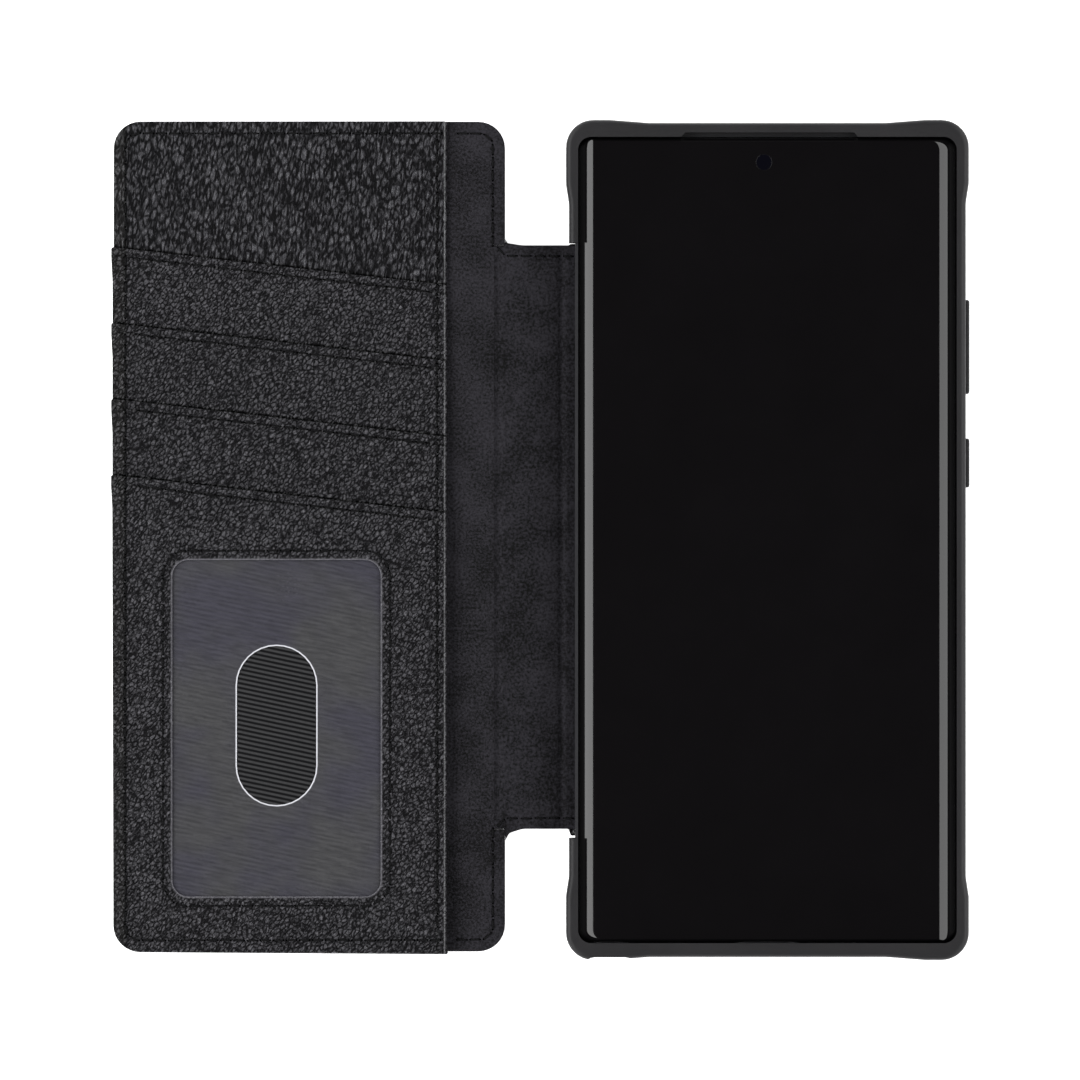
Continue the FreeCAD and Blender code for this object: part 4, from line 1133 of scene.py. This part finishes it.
def leather(name, grain, stretch, turn, depth, colour, roughness, brush, marked=False):
    finish = Finish(name, colour, roughness, Specular_IOR_Level=0.5, IOR=1.5)
    vector = finish.place((1 / (grain * stretch[0]), 1 / (grain * stretch[1]), 1 / grain), turn)
    vector = finish.warped(vector, 0.9, 0.6)
    domes = finish.curve(finish.cells(vector, 1.0), 0.0, 0.34)
    small = finish.curve(finish.cells(vector, 2.1), 0.0, 0.36)
    pores = finish.noise(vector, 3.2, 3.0, 0.6)
    broad = finish.noise(vector, 0.16, 2.0)
    strokes = finish.noise(finish.place((2.3 / grain, 1.15 / (grain * stretch[1]), 1), turn), 1.0, 2.5, 0.6)
    height = finish.times(domes, finish.curve(broad, 0.3, 0.7, 0.65, 1.0))
    height = finish.times(height, 1.4 - 0.9 * brush)
    strokes = finish.curve(strokes, 0.36, 0.64)
    for layer, share in ((small, 0.35), (pores, 0.4), (strokes, brush)):
        height = finish.plus(height, finish.times(layer, share))
    tops = finish.curve(height, *TOPS, smooth=False)
    tops = finish.times(tops, finish.curve(domes, 0.0, 0.6, 0.35, 1.0))
    # Painted shade: the creases fall to 7% of the colour; the tops keep the full colour, partly painted
    # highlight.
    shade = finish.colours(tops, tint(colour, 0.07), colour)
    dull = finish.curve(height, 0.3, 1.4, roughness + 0.3, roughness)
    finish.use("Specular IOR Level", finish.curve(tops, 0.0, 1.0, 0.06, 0.6))
    # The cut edge turns pale near its rim: partly edge paint, partly painted highlight.
    pale = tuple(value * 3 + 0.03 for value in colour)
    shade = finish.mix(finish.curve(finish.rim(), 0.5, 0.95, 0.0, 0.85), shade, pale)
    if marked:
        shadow, border, fold = wallet_marks(finish)
        height = finish.times(height, finish.curve(border, 0.0, 1.0, 1.0, 0.45))
        shade = finish.mix(finish.times(border, 0.6), shade, (0.0065, 0.0062, 0.0055))
        # Painted highlight along the folded edge, broken up by the pores.
        painted_fold_highlight = finish.times(fold, finish.curve(pores, 0.35, 0.6, 0.35, 1.0))
        shade = finish.mix(painted_fold_highlight, shade, (0.17, 0.17, 0.175))
        # Painted shade and shadow at the mouths, creases and seams, mixed towards black.
        shade = finish.mix(shadow, shade, (0.0, 0.0, 0.0))
        dull = finish.plus(dull, finish.times(shadow, 0.5))
    finish.use("Base Color", shade)
    finish.use("Roughness", dull)
    finish.bump(height, depth)
    return finish.material


PANEL_BLACK = (0.055, 0.054, 0.061)
WALLET_BLACK = (0.069, 0.067, 0.075)
OUTER_BLACK = (0.02, 0.0195, 0.022)
outer_leather = leather("outer_leather", 1.25, (1.0, 1.15), 20, 0.26, OUTER_BLACK, 0.36, 0.2)
panel_leather = leather("panel_leather", 1.15, (0.85, 1.9), 8, 0.5, PANEL_BLACK, 0.27, 0.85, marked=True)
wallet_leather = leather("wallet_leather", 0.85, (0.9, 1.25), 38, 0.36, WALLET_BLACK, 0.27, 0.85, marked=True)

# %% [markdown]
# Microfibre is a felt of hairs too fine to see, so it is matte with a faint pale bloom at a slant,
# which is what the shader's sheen is for. A fine speckle keeps it from looking like painted card.

# %% Microfibre


def microfibre(name, colour, speckle, sheen):
    finish = Finish(name, colour, 0.95, Sheen_Weight=sheen, Sheen_Roughness=0.45, Specular_IOR_Level=0.2)
    finish.set("Sheen Tint", (0.8, 0.78, 0.85, 1))
    vector = finish.place()
    fine = finish.noise(vector, 1.9, 4.0, 0.75)
    broad = finish.noise(vector, 0.12, 3.0)
    mixed = finish.plus(finish.times(fine, 0.75), finish.times(broad, 0.25))
    tone = finish.curve(mixed, 0.38, 0.62)
    finish.use("Base Color", finish.colours(tone, tint(colour, 1 - speckle), tint(colour, 1 + speckle)))
    finish.use("Roughness", finish.curve(fine, 0.3, 0.7, 0.88, 1.0))
    finish.bump(fine, 0.06)
    return finish.material


lining_felt = microfibre("lining_felt", (0.0124, 0.0117, 0.0142), 1.0, 0.03)
pocket_fabric = microfibre("pocket_fabric", (0.009, 0.009, 0.01), 0.5, 0.03)

# %% [markdown]
# Moulded rubber and hard plastic differ mostly in gloss. Both come from a tool that was spark
# eroded, which leaves a very fine even texture, and both vary a little where fingers have polished
# them.

# %% Moulded pieces


def moulded(name, colour, roughness, texture, depth, **sockets):
    finish = Finish(name, colour, roughness, **sockets)
    vector = finish.place()
    fine = finish.noise(vector, texture, 3.0, 0.6)
    broad = finish.noise(vector, 0.06, 2.0)
    tone = finish.curve(broad, 0.3, 0.7)
    finish.use("Base Color", finish.colours(tone, tint(colour, 0.86), tint(colour, 1.12)))
    finish.use("Roughness", finish.curve(fine, 0.3, 0.7, roughness - 0.05, roughness + 0.07))
    finish.bump(fine, depth)
    return finish.material


rubber = moulded("bumper_rubber", (0.011, 0.0105, 0.0115), 0.5, 3.0, 0.012, Specular_IOR_Level=0.32)
key_rubber = moulded("key_rubber", (0.009, 0.009, 0.01), 0.48, 3.0, 0.01, Specular_IOR_Level=0.32)
hard_plastic = moulded("hard_plastic", (0.022, 0.022, 0.024), 0.32, 4.0, 0.006)
bezel_plastic = moulded("bezel_plastic", (0.015, 0.015, 0.016), 0.25, 4.0, 0.004)
handset_metal = moulded("handset_metal", (0.11, 0.11, 0.115), 0.3, 6.0, 0.003, Metallic=1.0)
back_glass = moulded("back_glass", (0.006, 0.006, 0.007), 0.22, 6.0, 0.002)

# %% [markdown]
# Board is grey pulp, which hardly shows. Thread is twisted, so a fine diagonal stripe runs round it,
# and the leather beside each needle hole lies in shade, so the holes get a matt black of their own.

# %% Board and thread
board_grey = microfibre("board_grey", (0.16, 0.15, 0.135), 0.2, 0.0)

thread = Finish("thread", (0.004, 0.004, 0.0045), 0.7, Specular_IOR_Level=0.12)
twist = thread.node("ShaderNodeTexWave", Scale=1.1, Distortion=0.6)
twist.bands_direction = "DIAGONAL"
thread.link(thread.place(), twist.inputs["Vector"])
thread.use("Base Color", thread.colours(twist.outputs["Fac"], (0.001, 0.001, 0.0011), (0.006, 0.006, 0.0066)))
thread.bump(twist.outputs["Fac"], 0.05)
stitching = thread.material

hole = Finish("needle_hole", (0.0006,) * 3, 0.95, Specular_IOR_Level=0.0)
hole.use("Base Color", hole.colours(hole.noise(hole.place(), 2.0), (0.0004,) * 3, (0.001,) * 3))
needle_black = hole.material

# %% [markdown]
# The ribbed cloth already has its ribs, so its finish adds the threads that run across them, and
# darkens the valleys between with painted shade.

# %% Ribbed cloth
ribs = Finish("ribbed_weave", (0.011, 0.011, 0.0115), 0.6, Specular_IOR_Level=0.4)
rib_vector = ribs.place((1 / 0.16, 1 / 0.6, 1), 12)
rib_threads = ribs.noise(rib_vector, 1.0, 2.0)
rib_tone = ribs.colours(rib_threads, (0.015, 0.015, 0.0155), (0.03, 0.03, 0.032))
# Painted shade in the valleys between the ribs.
rib_valley_shade = ribs.curve(ribs.rim(), 0.2, 0.9, 1.0, 0.0)
ribs.use("Base Color", ribs.mix(rib_valley_shade, rib_tone, (0.0045, 0.0045, 0.005)))
ribs.use("Specular IOR Level", ribs.curve(ribs.rim(), 0.2, 0.9, 0.05, 0.35))
ribs.bump(rib_threads, 0.05)
ribbed_weave = ribs.material

# %% [markdown]
# The window film is a slightly milky plastic. It scatters a grey veil over the cloth behind it, with
# soft patches where it bears on the ribs and faint stripes of painted shade along them, and its cut
# edge pipes light, which is painted in as a pale glowing line.

# %% Window film
milk = Finish("window_film", (0.1, 0.1, 0.108), 0.3, Specular_IOR_Level=0.5)
milk_vector = milk.place()
patches = milk.curve(milk.noise(milk_vector, 0.07, 2.0), 0.35, 0.65)
dust = milk.noise(milk_vector, 2.2, 3.0, 0.7)
veil = milk.colours(patches, (0.106, 0.105, 0.109), (0.088, 0.085, 0.111))
# Painted shade: faint dark stripes along the ribs behind the film.
rib_shade_stripes = milk.noise(milk.place((0.25, 2.1, 1), 12), 1.0, 1.0)
veil = milk.mix(milk.curve(rib_shade_stripes, 0.35, 0.65, 0.0, 0.35), veil, (0.03, 0.03, 0.034))
# Painted glow: a pale, opaque line at the thumb slot's cut edge.
painted_edge_glow = milk.curve(milk.rim(), 0.5, 0.8)
milk.use("Base Color", milk.mix(painted_edge_glow, veil, (0.62, 0.62, 0.66)))
milk.use("Roughness", milk.curve(dust, 0.3, 0.7, 0.26, 0.4))
clear = milk.curve(dust, 0.25, 0.75, 0.27, 0.42)
milk.use("Alpha", milk.math("MAXIMUM", clear, painted_edge_glow))
milky_film = milk.material

# %% [markdown]
# Screen glass over a dark display is almost black, and what shows is its polish. A very faint smear
# pattern in the roughness stops it from looking like a hole.

# %% Screen and lenses


def polished(name, colour, roughness):
    finish = Finish(name, colour, roughness, Specular_IOR_Level=0.5, IOR=1.5)
    smear = finish.noise(finish.place(), 0.05, 3.0, 0.6)
    finish.use("Base Color", finish.colours(smear, tint(colour, 0.8), tint(colour, 1.2)))
    finish.use("Roughness", finish.curve(smear, 0.35, 0.7, roughness, roughness + 0.03))
    return finish.material


dark_screen = polished("dark_screen", (0.0036, 0.0032, 0.0036), 0.05)
lens_glass = polished("lens_glass", (0.002, 0.002, 0.004), 0.03)

# %% [markdown]
# The floor is plain pale card, lit from below a little, as a light table is, so that shadows stay faint.

# %% Floor
card = Finish("floor_card", (0.92,) * 3, 0.9, Specular_IOR_Level=0.1, Emission_Strength=0.8)
card.set("Emission Color", (1, 1, 1, 1))
card.use("Base Color", card.colours(card.noise(card.place(), 0.01), (0.91,) * 3, (0.93,) * 3))
floor.data.materials.append(card.material)

# %% [markdown]
# ## Putting it together
# Each new piece gets its finish, the body it rides on and the node it stands for.
# A sheet that crosses a fold is blended between the fold's two bodies instead.

# %% Who rides on what
TRAY_FOLD = ("shell", "spine", (tray_fold_high.x * MM, 0, 0), (tray_fold_low.x * MM, 0, 0))
COVER_FOLD = ("spine", "cover", (fold_high.x * MM, 0, 0), (fold_low.x * MM, 0, 0))


def dress(piece, material, slot, rides, *stands_for):
    piece.data.materials.append(material)
    if material is stitching:
        piece.data.materials.append(needle_black)
    if isinstance(rides, str):
        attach(piece, rides)
    else:
        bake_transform(piece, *rides)
    if stands_for:
        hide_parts(*stands_for)


OUTER = (outer_leather, "outer_leather")
FELT = (lining_felt, "microfibre")
THREAD = (stitching, "thread")
dress(outer_back, *OUTER, TRAY_FOLD, "back_leather", "tray_fold_leather", "spine_leather")
dress(outer_fold, *OUTER, COVER_FOLD, "cover_fold_leather")
dress(outer_cover, *OUTER, "cover", "cover_leather")
dress(lining_spine, *FELT, TRAY_FOLD, "spine_lining", "tray_fold_lining")
dress(lining_fold, *FELT, COVER_FOLD, "cover_fold_lining")
dress(lining_cover, *FELT, "cover", "cover_lining")
dress(wallet[0], panel_leather, "panel_leather", "cover", "wallet_panel")
for piece, node in zip(wallet[1:], pocket_nodes):
    dress(piece, wallet_leather, "wallet_leather", "cover", node)
dress(film, milky_film, "clear_film", "cover", "window_film")
dress(ribbed, ribbed_weave, "ribbed_fabric", "cover", "window_lining")
dress(cover_stitches, *THREAD, "cover", "cover_thread")
dress(fold_stitches, *THREAD, COVER_FOLD, "cover_thread")
dress(spine_stitches, *THREAD, TRAY_FOLD, "spine_thread")
dress(panel_stitches, *THREAD, "cover", "panel_thread")
dress(hem_stitches, *THREAD, "cover", "hem_thread")
dress(window_stitches, *THREAD, "cover", "window_thread")
dress(outer_stitches, *THREAD, "cover", "cover_thread")
dress(screen, dark_screen, "screen_glass", "handset", "handset_screen")

# %% [markdown]
# The hard pieces keep their own meshes and only change their finish.

# %% Finishes for the frame's own pieces
kept = {
    "hard_tray": hard_plastic,
    "bumper_frame": rubber,
    "volume_key": key_rubber,
    "power_key": key_rubber,
    "camera_bezel": bezel_plastic,
    "tray_liner": lining_felt,
    "cash_pocket_back": pocket_fabric,
    "spine_board": board_grey,
    "cover_board": board_grey,
    "handset_frame": handset_metal,
    "handset_back_glass": back_glass,
    "handset_camera_block": back_glass,
    "handset_camera_lenses": lens_glass,
    "handset_front_camera": lens_glass,
}
for node, material in kept.items():
    for material_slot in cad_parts[node].material_slots:
        material_slot.material = material
print("finished", len(kept), "carried-over pieces")
